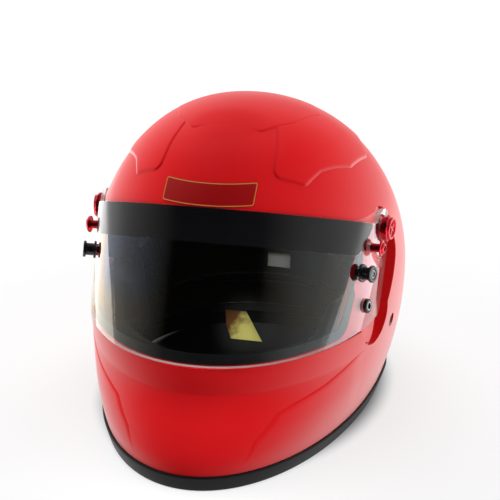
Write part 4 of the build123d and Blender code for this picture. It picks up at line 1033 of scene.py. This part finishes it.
def build_pivots(red):
    """Pivot heads, scalloped and dished with a raised cross, and guide heads whose hexagon socket is coloured near
    black: painted shade for the inside of its recess.
    """
    # Painted shade: the hexagon socket gets this near-black finish in place of the shade inside the recess.
    socket = plain_finish("socket_black", (0.012, 0.012, 0.013), 0.4)

    def pivot_radius(turn, share):
        return 11.0 - 0.55 * share**6 * (0.5 + 0.5 * np.cos(12 * turn))

    def pivot_height(radius, turn):
        radius = np.asarray(radius, float)
        flange = 2.2 * np.sqrt(np.clip(1 - np.clip((radius - 9.6) / 1.45, 0, 1)**2, 0, 1))
        rim = 2.6 * (1 - smooth_step((radius - 8.6) / 0.9))
        dish = 1.3 * (1 - smooth_step((radius - 5.6) / 2.0))
        arms = np.minimum(np.abs(np.sin(turn - math.pi / 4)), np.abs(np.cos(turn - math.pi / 4))) * radius
        cross = 0.9 * (1 - smooth_step((arms - 0.6) / 0.5)) * (1 - smooth_step((radius - 4.6) / 0.5))
        return flange + rim - dish + cross

    def guide_radius(turn, share):
        return 6.8 + 0 * turn

    def hexagon(radius, turn):
        return radius * np.cos((turn + math.pi / 6) % (math.pi / 3) - math.pi / 6)

    def guide_height(radius, turn):
        radius = np.asarray(radius, float)
        washer = 2.0 * np.sqrt(np.clip(1 - np.clip((radius - 5.4) / 1.4, 0, 1)**2, 0, 1))
        head = 1.9 * np.sqrt(np.clip(1 - (radius / 4.5)**4, 0, 1))
        return washer + head - 1.5 * (1 - smooth_step((hexagon(radius, turn) - 2.0) / 0.25))

    for name, side in (("left", 1), ("right", -1)):
        pivot = dial(f"pivot_head_{name}", pivot_height, pivot_radius, (PIVOT_HEAD_X, *PIVOT), side, [red])
        guide = dial(f"guide_head_{name}", guide_height, guide_radius, (GUIDE_HEAD_X, *GUIDE), side, [red, socket],
                     kind_at=lambda radius, turn: (hexagon(radius, turn) < 2.1).astype(int))
        if side > 0:
            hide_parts("pivot_washers", "pivot_screws")
            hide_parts("guide_washers", "guide_screws")


def build_rings():
    """The two D-rings of the chin strap, bent from round wire. Returns their steel."""
    steel = plain_finish("plain_steel", (0.55, 0.55, 0.56), 0.25, metallic=1.0, grain=1500.0, grain_depth=0.00001)
    flat = np.concatenate([arc_points((-3.0, -11.8), 3.0, -math.pi / 2, 0, 9),
                           arc_points((-3.0, 11.8), 3.0, 0, math.pi / 2, 9),
                           arc_points((-7.0, 0.0), 14.8, math.pi / 2, 3 * math.pi / 2, 49)[:-1]])
    for name, lift in (("lower", 0.0), ("upper", RING_LIFT)):
        path = np.column_stack([flat[:, 0] + RING_X, flat[:, 1] + STRAP_Y, np.full(len(flat), RING_Z + lift)])
        ring = tube(f"strap_ring_{name}", path, WIRE_RADIUS, f"ring_{name}", steel)
        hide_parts(f"d_ring_{name}")
    return steel


def resample(line, step):
    """An open line at an even step, with the distance along it."""
    return spread(line, max(2, int(line_lengths(line)[-1] / step)))


def band(name, line, material, closed=False):
    """Webbing along a line seen from the front, with rolled edges, mapped in millimetres."""
    path, at = resample(np.concatenate([line, line[:1]]) if closed else line, 1.2)
    if closed:
        path, at = path[:-1], at[:-1]
        along = np.roll(path, -1, 0) - np.roll(path, 1, 0)
    else:
        along = np.gradient(path, axis=0)
    along /= np.linalg.norm(along, axis=1, keepdims=True)
    normal = np.stack([-along[:, 1], along[:, 0]], -1)
    half, t = STRAP_WIDTH / 2, STRAP_THICKNESS / 2
    section = rounded([(-half, -t), (half, -t), (half, t), (-half, t)], [0.75 * t] * 4, 5)
    points = np.empty((len(path), len(section), 3))
    points[..., 0] = path[:, None, 0] + normal[:, None, 0] * section[None, :, 1]
    points[..., 2] = path[:, None, 1] + normal[:, None, 1] * section[None, :, 1]
    points[..., 1] = STRAP_Y + section[None, :, 0]
    rows_n, cols_n = points.shape[:2]
    faces = grid_faces(rows_n, cols_n, wrap_rows=closed, wrap_columns=True).tolist()
    if not closed:
        faces += [list(range(cols_n)), [(rows_n - 1) * cols_n + j for j in range(cols_n - 1, -1, -1)]]
    obj = make(name, points.reshape(-1, 3), faces, material=material)
    recalculate(obj, sharp=50)
    map_points(obj, "strap", np.stack([np.repeat(at, cols_n), np.tile(section[:, 0], rows_n)], -1))
    return obj


def build_straps():
    """Chin straps: the short one with its loop round the rings, the long one folded back on itself."""
    web = webbing()
    wall = float(form_side_x(STRAP_Y - STRAP_WIDTH / 2, STRAP_WALL_Z, -SHELL_WALL)) - STRAP_THICKNESS
    room = WIRE_RADIUS + LOOP_ROOM + STRAP_THICKNESS / 2
    loop_low, loop_high = RING_Z - room, RING_Z + RING_LIFT + room
    loop_in, loop_out = RING_X - room, RING_X + room + LOOP_SWING
    short = bend_line([(wall, STRAP_TOP_Z), (wall, STRAP_WALL_Z), (88.0, 10.5), (72.0, 10.1),
                       (loop_out + 0.4, (loop_low + loop_high) / 2)], [STRAP_BEND] * 3)
    loop = rounded([(loop_in, loop_low), (loop_out, loop_low), (loop_out, loop_high), (loop_in, loop_high)],
                   [1.8] * 4, 8)
    strap = band("strap_short", short, web)
    tie = band("strap_loop", loop, web, closed=True)
    long_line = bend_line([(-wall, STRAP_TOP_Z), (-wall, STRAP_WALL_Z), (-90.0, 8.0), (-78.0, FOLD_LOW_Z),
                           (FOLD_X, FOLD_LOW_Z)], [STRAP_BEND] * 3)
    fold_radius = (FOLD_HIGH_Z - FOLD_LOW_Z) / 2
    fold = arc_points((FOLD_X, FOLD_LOW_Z + fold_radius), fold_radius, -math.pi / 2, math.pi / 2, 13)
    long_strap = band("strap_long", np.concatenate([long_line[:-1], fold, [(STRAP_END_X, FOLD_HIGH_Z)]]), web)
    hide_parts("chin_strap_short")
    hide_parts("chin_strap_long")


# ---------------------------------------------------------------- liners

def cavity_x(y, z, grow):
    """Half width of the room inside the shell: the form's side, drawn in behind the shield's recess."""
    open_side = form_side_x(y, z, grow)
    back, _ = lean_back_up(y, z)
    inset = SHIELD_THICKNESS + RECESS_GAP + SHELL_WALL + 0.6
    behind = SIDE_X + np.sqrt(np.clip((SIDE_RADIUS - inset)**2 - (SIDE_BACK - back)**2, 1.0, None))
    behind = np.where(back > SIDE_BACK, SIDE_X + SIDE_RADIUS - inset, behind)
    share = smooth_step((z - 59.0) / 7.0) * smooth_step((9.0 - y) / 7.0)
    return open_side + share * (np.minimum(open_side, behind) - open_side)


def rolled(gap):
    """Share of a pad's half thickness at a gap from its edge: a quarter circle, full from a gap of 1."""
    return np.sqrt(np.clip(1 - (1 - np.clip(gap, 0, 1))**2, 0, 1))


def cushion(name, outline, centre, side, outer, inner, material, rings=14):
    """A pad against the shell's side: rings from its middle to its outline, full in the middle and thin at the rim."""
    share = np.concatenate([np.linspace(0.02, 0.8, rings), 1 - 0.2 * (1 - np.linspace(0, 1, 9)[1:])**1.6])
    plan = np.asarray(centre) + share[:, None, None] * (outline[None] - centre)
    full = rolled((1 - share) * 4.0)[:, None]
    y, z = plan[..., 0], plan[..., 1]
    wall, inside = cavity_x(y, z, outer), form_side_x(y, z, inner)
    middle = (wall + inside) / 2
    face_out = np.stack([middle + (wall - middle) * full, y, z], -1)
    face_in = np.stack([middle - (middle - inside) * full, y, z], -1)[:-1][::-1]
    points, faces = ringed(np.concatenate([face_out, face_in]), [face_out[0].mean(0), face_in[-1].mean(0)])
    obj = make(name, points * (side, 1, 1), faces, material=material)
    recalculate(obj)
    return obj


def fill_pad(piece, swell, voxel=4.5):
    """Fills a pad by cloth: an even remesh, pressure inside and no gravity for 20 frames, each point's way held to
    the swell, then one subdivision."""
    scene = bpy.context.scene
    remesh = piece.modifiers.new("even", "REMESH")
    remesh.mode, remesh.voxel_size, remesh.use_smooth_shade = "VOXEL", voxel * MM, True
    mesh = keep_modified(piece)
    start = read(mesh.vertices, "co", width=3)
    cloth_step = piece.modifiers.new("filling", "CLOTH")
    cloth_step.settings.use_pressure = True
    cloth_step.settings.uniform_pressure_force = 4.0
    cloth_step.settings.effector_weights.gravity = 0.0
    for each in range(1, 21):
        scene.frame_set(each)
    filled = piece.evaluated_get(bpy.context.evaluated_depsgraph_get()).to_mesh()
    end = read(filled.vertices, "co", width=3)
    piece.modifiers.clear()
    scene.frame_set(1)
    way = (end - start).reshape(-1, 3)
    size = np.linalg.norm(way, axis=1, keepdims=True)
    way *= np.minimum(1.0, swell * MM / np.maximum(size, 1e-9))
    mesh.vertices.foreach_set("co", (start + way.ravel()))
    mesh.update()
    finer = piece.modifiers.new("finer", "SUBSURF")
    finer.levels = finer.render_levels = 1


def arc_pad(name, turns, low, high, outer, inner, material, rows=26):
    """A pad that follows the form between two heights over a range of turns, with rolled edges all round."""
    v = (1 - np.cos(np.linspace(0, 1, rows) * math.pi)) / 2
    z = np.broadcast_to(low + (high - low) * v, (len(turns), rows))
    middle, half = (outer + inner) / 2, (outer - inner) / 2
    at = line_lengths(form_point(turns[:, None], z, middle)[:, rows // 2])
    end = np.minimum(at, at[-1] - at)[:, None]
    side = (np.minimum(v, 1 - v) * (high - low))[None]
    full = rolled(np.minimum(end, side) / (half * 1.2))
    top, under = (form_point(turns[:, None], z, middle + sign * half * full) for sign in (1, -1))
    obj = slab(name, top, under, material)
    recalculate(obj, merge=0.00002)
    return obj


def liner_base(y):
    """Height of the crown liner's lower edge at a place along the helmet."""
    edge = np.interp(y, [-46.0, -38.0, 30.0, 52.0], [164.0, 122.0, 116.0, 56.0])
    brow = level_z(y, 6.5)
    return np.where(y < -46, np.maximum(164.0, brow), edge)


def crown_cloth(material, outer=-35.0, inner=-42.8, columns=240, rows=70, foot=40.0, roll_reach=160.0):
    """The crown liner's cloth: two layers of the form from its smoothed lower edge up to the top, joined by a rolled
    hem."""
    turns = np.linspace(0, 2 * math.pi, columns, endpoint=False)
    heights = np.linspace(foot, CROWN_TOP + outer - 0.5, 400)
    y = form_point(turns[:, None], heights[None], outer)[..., 1]
    edge = heights[np.argmax(heights[None] >= liner_base(y), 1)]
    low = np.convolve(np.concatenate([edge[-6:], edge, edge[:6]]), np.ones(13) / 13, "valid")
    low = np.maximum(low, edge)
    v = np.linspace(0, 1, rows, endpoint=False)
    half, middle = (outer - inner) / 2, (outer + inner) / 2
    layers = []
    for sign in (1, -1):
        grow = middle + sign * half * rolled(v * roll_reach / (half * 1.3))
        top = CROWN_TOP + grow
        start = np.arcsin(np.clip((low[:, None] - foot) / (top - foot)[None], 0, 1))
        z = foot + (top - foot)[None] * np.sin(start + (math.pi / 2 - start) * v[None])
        layers.append(form_point(turns[:, None], z, grow[None]).transpose(1, 0, 2))
    points, faces = ringed(np.concatenate([layers[0][::-1], layers[1][1:]]),
                           [(0, APEX_Y, CROWN_TOP + outer), (0, APEX_Y, CROWN_TOP + inner)])
    obj = make("crown_cloth", points, faces, material=material)
    recalculate(obj)
    return obj


def build_liners():
    """Padded liners: the crown liner's cloth, cheek pads, neck roll and the chin pad."""
    knit = cloth("liner_cloth", (0.020, 0.020, 0.022))
    foam = bead_foam()
    crown = crown_cloth(knit)
    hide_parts("comfort_liner")
    cheek = densify(grown(rounded(CHEEK, [6, 5, 6, 8, 6, 8, 8], 8), -0.8 - PAD_SWELL), 2.2)
    for name, side in (("left", 1), ("right", -1)):
        pad = cushion(f"cheek_cushion_{name}", cheek, (-34.0, 72.0), side, -4.8 - PAD_SWELL, -37.8 + PAD_SWELL, knit)
        fill_pad(pad, PAD_SWELL)
        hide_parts(f"cheek_pad_{name}")
    roll = arc_pad("neck_cushion", np.radians(np.linspace(10, 170, 90)), 18.6 + PAD_SWELL, 45.4 - PAD_SWELL,
                   -4.8 - PAD_SWELL, -29.8 + PAD_SWELL, knit)
    fill_pad(roll, PAD_SWELL)
    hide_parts("neck_roll")
    chin = arc_pad("chin_cushion", np.radians(np.linspace(226, 314, 70)), 24.6, 84.0, -24.8, -27.6, knit)
    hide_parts("chin_bar_pad")
    for name in ("crown_eps_liner", "chin_bar_eps"):
        dress(name, foam)


# ---------------------------------------------------------------- plate and labels

def build_plate():
    """Brow plate: a thin curved plate with rounded corners and one thin line, left bare."""
    half_w, half_h, corner = PLATE_HALF_WIDTH, PLATE_HALF_HEIGHT, PLATE_CORNER
    red = stripe_plate("plate_red", (0.30, 0.003, 0.004), (0.60, 0.22, 0.05), half_w, half_h, corner)
    x, share = np.meshgrid(np.linspace(-1, 1, 81) * half_w, np.linspace(-1, 1, 17), indexing="ij")
    inset = np.clip(np.abs(x) - (half_w - corner), 0, corner)
    z = PLATE_Z + share * (half_h - corner + np.sqrt(np.clip(corner**2 - inset**2, 0, None)))
    half, front, _, station = form_sizes(z, 0.0)
    base = np.stack([x, station - (station - front) * np.sqrt(1 - (x / half)**2), z], -1)
    plate = slab("bare_brow_plate", base + form_normal(base, 0.0) * PLATE_THICKNESS, base, red)
    recalculate(plate, sharp=40)
    map_points(plate, "plate", np.tile(np.stack([x, z - PLATE_Z], -1).reshape(-1, 2), (2, 1)))
    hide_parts("brow_plate")


def dress(name, material):
    """Gives a carried-over CAD node its finish."""
    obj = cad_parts[name]
    obj.data.materials.clear()
    obj.data.materials.append(material)


def dress_hardware(steel):
    """Finishes of the CAD nodes that stay as they are, and the red heads that go with them."""
    red = plain_finish("red_anodised", (0.60, 0.016, 0.030), 0.28, metallic=0.85, grain=1500.0, grain_depth=0.00001)
    build_pivots(red)
    black = plain_finish("hub_plastic", (0.012, 0.012, 0.013), 0.35)
    grey_metal = plain_finish("dark_insert", (0.10, 0.10, 0.105), 0.35, metallic=1.0)
    seal = plain_finish("seal_rubber", (0.010, 0.010, 0.011), 0.55)
    for material, names in ((red, ("shield_hubs", "guide_sleeves")), (black, ("guide_nuts",)),
                            (steel, ("pivot_bushings", "pivot_nut_plates", "strap_plates", "strap_rivets",
                                     "post_screws")),
                            (grey_metal, ("restraint_anchor_left", "restraint_anchor_right")),
                            (seal, ("eyeport_gasket",))):
        for name in names:
            dress(name, material)


def cloth_tag(name, points, material):
    """A label of doubled cloth: a grid of points with its own thickness, mapped from 0 to 1."""
    rows_n, cols_n = points.shape[:2]
    obj = make(name, points.reshape(-1, 3), grid_faces(rows_n, cols_n).tolist(), material=material)
    wall = obj.modifiers.new("wall", "SOLIDIFY")
    wall.thickness, wall.offset = 0.4 * MM, 0.0
    across, along = np.meshgrid(np.linspace(0, 1, cols_n), np.linspace(0, 1, rows_n))
    map_points(obj, "tag", np.stack([across.ravel(), along.ravel()], -1))
    return obj


def tag_cloth(name, near, far, ribs):
    """Woven label cloth that fades from one colour to another along the label, with fine ribs."""
    material, tree, output = new_material(name)
    uv = node(tree, "ShaderNodeUVMap", uv_map="tag").outputs["UV"]
    split = node(tree, "ShaderNodeSeparateXYZ", {"Vector": uv})
    place = object_place(tree)
    stain = noise(tree, place, 120.0, 3.0)
    along = calc(tree, "ADD", split.outputs["Y"], split.outputs["X"])
    along = calc(tree, "ADD", along, stain)
    along = calc(tree, "MULTIPLY", along, 0.5)
    tone = ramp(tree, along, [(0.6, solid(near)), (0.84, solid(far))])
    weave = node(tree, "ShaderNodeTexWave", {"Vector": uv, "Scale": ribs, "Distortion": 0.3}).outputs["Fac"]
    normal = bump(tree, weave, 0.4, 0.0002)
    return principled(material, tree, output, {"Base Color": tone, "Roughness": 0.7, "Normal": normal,
                                               "Sheen Weight": 0.2})


def build_tags():
    """Size label on the crown cloth and the curled care tag in the neck opening, both bare."""
    across, up = np.meshgrid(np.linspace(-5.0, 16.5, 30), np.linspace(65.0, 78.0, 18))
    half, _, rear, station = form_sizes(up, -43.3)
    y = station + (rear - station) * np.sqrt(1 - (across / half)**2)
    label = cloth_tag("size_tag", np.stack([across, y, up], -1),
                      tag_cloth("label_cloth", (0.80, 0.80, 0.77), (0.86, 0.86, 0.84),
                                14.0))
    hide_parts("size_label")
    line, at = resample(bend_line([(101.0, 17.4), (86.0, 8.5), (73.0, 1.6)], [8.0]), 0.8)
    along = at / at[-1]
    share = np.linspace(0, 1, 34)
    left = np.interp(along, [0, 0.5, 1], [-45.5, -41.0, -33.0])
    right = np.interp(along, [0, 0.5, 1], [-25.0, -14.0, -3.0])
    x = left[:, None] + (right - left)[:, None] * share[None]
    curl = 3.4 * np.sin(math.pi * share)[None] * np.sin(math.pi * np.clip(along, 0, 1))[:, None]
    points = np.stack(np.broadcast_arrays(x, line[:, None, 0] + 0 * x, line[:, None, 1] + curl), -1)
    tag = cloth_tag("care_flap", points,
                    tag_cloth("tag_cloth", (0.22, 0.075, 0.02), (0.80, 0.70, 0.20), 18.0))
    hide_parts("care_tag")


# ---------------------------------------------------------------- stage

def aim(location, target):
    """Rotation that points an object's -Z at a target."""
    return (Vector(target) - Vector(location)).to_track_quat("-Z", "Y").to_euler()


def add_lamp(name, kind, place, target, power, glossy=False, **settings):
    """A lamp of the stage that points at a target."""
    data = bpy.data.lights.new(name, kind)
    data.energy = power
    for key, value in settings.items():
        setattr(data, key, value)
    lamp = bpy.data.objects.new(name, data)
    bpy.context.scene.collection.objects.link(lamp)
    lamp.location, lamp.rotation_euler = place, aim(place, target)
    lamp.visible_glossy, lamp.visible_camera = glossy, False


def stage_mesh(name, points, faces, material):
    """A mesh of the stage, in metres."""
    mesh = bpy.data.meshes.new(name)
    mesh.from_pydata(points, [], faces)
    mesh.materials.append(material)
    obj = bpy.data.objects.new(name, mesh)
    bpy.context.scene.collection.objects.link(obj)


def mirror_card(name, share_at):
    """Black that only mirror rays meet, by the share that a function of its tree gives, and clear for all others."""
    material, tree, output = new_material(name)
    path = tree.nodes.new("ShaderNodeLightPath")
    black = node(tree, "ShaderNodeBsdfDiffuse", {"Color": grey(0.02)})
    clear = node(tree, "ShaderNodeBsdfTransparent", {"Color": grey(1.0)})
    amount = calc(tree, "MULTIPLY", path.outputs["Is Glossy Ray"], share_at(tree))
    mix = node(tree, "ShaderNodeMixShader", {"Fac": amount, 1: clear.outputs[0], 2: black.outputs[0]})
    finish_material(tree, output, mix.outputs[0])
    return material


def ahead_share(tree):
    """Darkness of the round card: none straight behind the helmet's front, full to its rear."""
    place = object_place(tree)
    split = node(tree, "ShaderNodeSeparateXYZ", {"Vector": place})
    ahead = calc(tree, "ARCTAN2", split.outputs["X"], split.outputs["Y"])
    ahead = calc(tree, "ABSOLUTE", ahead)
    ahead = remap(tree, ahead, 0.8, 3.1416)
    return ramp(tree, ahead, [(0.0, grey(0.0)), (0.25, grey(0.25)), (0.50, grey(0.62)), (0.72, grey(1.0))])


def white_floor():
    """Floor that is white to the camera and to mirrors away from the object, and matte under it: under the object and
    in a soft band round its foot the white lift fades out and the matte colour turns darker, a painted shadow.
    """
    material, tree, output = new_material("floor_white")
    place = object_place(tree)
    # Painted shadow: an ellipse round the helmet's foot, 0 under it and rising to 1 a little past the trim, fades the
    # floor's white lift there.
    under = node(tree, "ShaderNodeVectorMath", {0: place, 1: (0.0, -0.021, 0.0)}, operation="ADD").outputs[0]
    under = node(tree, "ShaderNodeVectorMath", {0: under, 1: (9.4, 7.1, 0.0)}, operation="MULTIPLY").outputs[0]
    under = node(tree, "ShaderNodeVectorMath", {0: under}, operation="LENGTH").outputs["Value"]
    outside_painted_shadow = node(tree, "ShaderNodeMapRange", {"Value": under, "From Min": 0.97, "From Max": 1.22},
                      interpolation_type="SMOOTHSTEP").outputs["Result"]
    shown = calc(tree, "MULTIPLY", shown_rays(tree), outside_painted_shadow)
    far = node(tree, "ShaderNodeVectorMath", {0: place}, operation="LENGTH").outputs["Value"]
    far = remap(tree, far, 0.3, 1.6, 0.72, 1.0)
    # Painted shadow in the colour: darker grey under the object than away from it.
    matte = node(tree, "ShaderNodeBsdfDiffuse", {"Color": ramp(tree, outside_painted_shadow, [(0.0, grey(0.06)), (1.0,
                                                                                                      grey(0.22))])})
    lift = calc(tree, "MULTIPLY", shown, far)
    lift = node(tree, "ShaderNodeEmission", {"Strength": lift})
    both = node(tree, "ShaderNodeAddShader", {0: matte.outputs[0], 1: lift.outputs[0]})
    finish_material(tree, output, both.outputs[0])
    return material


def shown_rays(tree):
    """1 for rays that show the background: straight from the camera, mirrored or through glass."""
    path = tree.nodes.new("ShaderNodeLightPath")
    first = calc(tree, "MAXIMUM", path.outputs["Is Camera Ray"], path.outputs["Is Transmission Ray"])
    return calc(tree, "MAXIMUM", first, path.outputs["Is Glossy Ray"])


def build_stage(settings):
    """White floor with the object's shadow, partly a painted shadow under and round its foot, even world light,
    softboxes and the camera.
    """
    scene = bpy.context.scene
    world = bpy.data.worlds.new("studio")
    scene.world = world
    world.use_nodes = True
    tree = world.node_tree
    tree.nodes.clear()
    output = tree.nodes.new("ShaderNodeOutputWorld")
    soft = node(tree, "ShaderNodeBackground", {"Color": grey(1.0), "Strength": settings.fill_level})
    white = node(tree, "ShaderNodeBackground", {"Color": grey(1.0), "Strength": 1.0})
    mix = node(tree, "ShaderNodeMixShader", {"Fac": shown_rays(tree), 1: soft.outputs[0], 2: white.outputs[0]})
    tree.links.new(mix.outputs[0], output.inputs["Surface"])
    stage_mesh("floor", [(-6, -6, 0), (6, -6, 0), (6, 6, 0), (-6, 6, 0)], [(0, 1, 2, 3)], white_floor())
    turns = np.radians(np.linspace(-215, 35, 60))
    ring = np.stack([np.cos(turns), np.sin(turns)], -1) * 1.9
    points = np.concatenate([np.column_stack([ring * share, np.full(len(ring), height)]) for height, share in (
        (0.003, 0.14), (0.003, 1.0), (1.5, 1.0), (2.3, 0.6), (2.55, 0.06))])
    stage_mesh("dark_card", points.tolist(), grid_faces(5, len(ring)).tolist(), mirror_card("card_black", ahead_share))
    stage_mesh("roof_card", [(-1.6, -0.3, 2.6), (-1.6, 2.4, 2.6), (1.6, 2.4, 2.6), (1.6, -0.3, 2.6)], [(0, 1, 2, 3)],
               mirror_card("roof_grey", lambda tree: 0.65))
    level = settings.light_level
    add_lamp("key_top", "AREA", (-0.2, 0.6, 1.5), (0, 0.02, 0.15), 29.5 * level, shape="RECTANGLE", size=1.6,
             size_y=1.2)
    for name, side in (("left", -1), ("right", 1)):
        add_lamp(f"side_{name}", "AREA", (side * 1.05, -0.25, 0.16), (0, -0.08, 0.04), 7.0 * level,
                 shape="RECTANGLE", size=0.6, size_y=0.3)
        add_lamp(f"low_{name}", "AREA", (side * 0.58, 0.25, 0.004), (side * 0.58, 0.25, 1.0), 4.0 * level,
                 glossy=True, shape="RECTANGLE", size=0.5, size_y=1.4)
    for name, place, target, power, cone, soft_size in (
            ("chin_spot", (0.02, -0.55, 1.4), (0.01, -0.19, 0.058), 80.0, 11.0, 0.1),
            ("tag_spot", (0.22, -0.90, 0.50), (-0.019, 0.105, 0.008), 52.0, 3.4, 0.01),
            ("label_spot", (0.22, -0.90, 0.50), (0.006, 0.117, 0.071), 11.0, 1.9, 0.01)):
        add_lamp(name, "SPOT", place, target, power * level, spot_size=math.radians(cone), spot_blend=1.0,
                 shadow_soft_size=soft_size)
    camera_data = bpy.data.cameras.new("camera")
    camera_data.sensor_width, camera_data.lens = 36.0, 88.92
    camera_data.shift_x, camera_data.shift_y = settings.camera_shift
    camera = bpy.data.objects.new("camera", camera_data)
    scene.collection.objects.link(camera)
    azimuth, elevation, roll = math.radians(14.4), math.radians(20.23), math.radians(-0.3)
    back = Vector((math.sin(azimuth) * math.cos(elevation), -math.cos(azimuth) * math.cos(elevation),
                   math.sin(elevation)))
    right = Vector((math.cos(azimuth), math.sin(azimuth), 0))
    up = back.cross(right)
    turned = right * math.cos(roll) + up * math.sin(roll)
    up = back.cross(turned)
    target = Vector((0, SHIFT * MM, 0.1323))
    place = Matrix((turned, up, back)).transposed().to_4x4()
    place.translation = target + back * 1.029
    camera.matrix_world = place
    scene.camera = camera
    scene.view_settings.view_transform = "Standard"


# ---------------------------------------------------------------- add-on

class HelmetSettings(bpy.types.PropertyGroup):
    """Looks that can be changed before the helmet is built."""

    shell_colour: bpy.props.FloatVectorProperty(name="Shell colour", description="Red of the painted shell",
                                                subtype="COLOR",
                                                size=3, default=(0.66, 0.0105, 0.0135), min=0, max=1)
    shell_roughness: bpy.props.FloatProperty(name="Shell roughness", description="How satin the paint is",
                                             default=0.34, min=0.05, max=1)
    shield_tint: bpy.props.FloatVectorProperty(name="Shield tint",
                                               description="Colour that the clear shield lets through",
                                               subtype="COLOR", size=3, default=(0.93, 0.94, 0.93), min=0, max=1)
    light_level: bpy.props.FloatProperty(name="Light level", description="Share of the lamps' set power", default=1.0,
                                         min=0, max=4)
    fill_level: bpy.props.FloatProperty(name="Fill level", description="Even light from all round", default=0.14,
                                        min=0, max=2)
    camera_shift: bpy.props.FloatVectorProperty(name="Camera shift",
                                                description="Sideways and upward shift of the picture",
                                                size=2, default=(0.0099, -0.0286), min=-0.5, max=0.5)


class HELMET_OT_shell(bpy.types.Operator):
    """Builds the painted shell with its raised panels and the rim trim"""

    bl_idname = "helmet.shell"
    bl_label = "Shell and trim"

    def execute(self, context):
        paint = build_shell(context.scene.helmet)
        build_crown(paint)
        build_chin_panels(paint)
        build_trim()
        return {"FINISHED"}


class HELMET_OT_shield(bpy.types.Operator):
    """Builds the clear shield and its sun strip"""

    bl_idname = "helmet.shield"
    bl_label = "Shield and strip"

    def execute(self, context):
        build_shield(context.scene.helmet)
        build_strip()
        return {"FINISHED"}


class HELMET_OT_hardware(bpy.types.Operator):
    """Builds the posts and rings, and finishes the screws and inserts"""

    bl_idname = "helmet.hardware"
    bl_label = "Hardware"

    def execute(self, context):
        build_posts()
        dress_hardware(build_rings())
        return {"FINISHED"}


class HELMET_OT_liners(bpy.types.Operator):
    """Builds the padded liners"""

    bl_idname = "helmet.liners"
    bl_label = "Liners"

    def execute(self, context):
        build_liners()
        return {"FINISHED"}


class HELMET_OT_straps(bpy.types.Operator):
    """Builds the chin straps"""

    bl_idname = "helmet.straps"
    bl_label = "Chin straps"

    def execute(self, context):
        build_straps()
        return {"FINISHED"}


class HELMET_OT_plate(bpy.types.Operator):
    """Builds the bare brow plate and the bare cloth tags"""

    bl_idname = "helmet.plate"
    bl_label = "Plate and tags"

    def execute(self, context):
        build_plate()
        build_tags()
        return {"FINISHED"}


class HELMET_OT_stage(bpy.types.Operator):
    """Builds the floor, the light and the camera"""

    bl_idname = "helmet.stage"
    bl_label = "Stage"

    def execute(self, context):
        build_stage(context.scene.helmet)
        return {"FINISHED"}


class HELMET_PT_panel(bpy.types.Panel):
    """The helmet's settings and steps in the sidebar"""

    bl_idname = "HELMET_PT_panel"
    bl_label = "Racing Helmet"
    bl_space_type = "VIEW_3D"
    bl_region_type = "UI"
    bl_category = "Helmet"

    def draw(self, context):
        settings = context.scene.helmet
        for name in ("shell_colour", "shell_roughness", "shield_tint", "light_level", "fill_level", "camera_shift"):
            self.layout.prop(settings, name)
        for step in STEPS:
            self.layout.operator(step.bl_idname)


STEPS = (HELMET_OT_shell, HELMET_OT_shield, HELMET_OT_hardware, HELMET_OT_liners, HELMET_OT_straps, HELMET_OT_plate,
         HELMET_OT_stage)
CLASSES = (HelmetSettings,) + STEPS + (HELMET_PT_panel,)


def register():
    """Registers the add-on's classes and its settings."""
    for each in CLASSES:
        bpy.utils.register_class(each)
    bpy.types.Scene.helmet = bpy.props.PointerProperty(type=HelmetSettings)


def unregister():
    """Removes them again."""
    del bpy.types.Scene.helmet
    for each in reversed(CLASSES):
        bpy.utils.unregister_class(each)


def main():
    """Builds everything."""
    register()
    for step in STEPS:
        group, call = step.bl_idname.split(".")
        getattr(getattr(bpy.ops, group), call)()


if __name__ == "__main__":
    main()
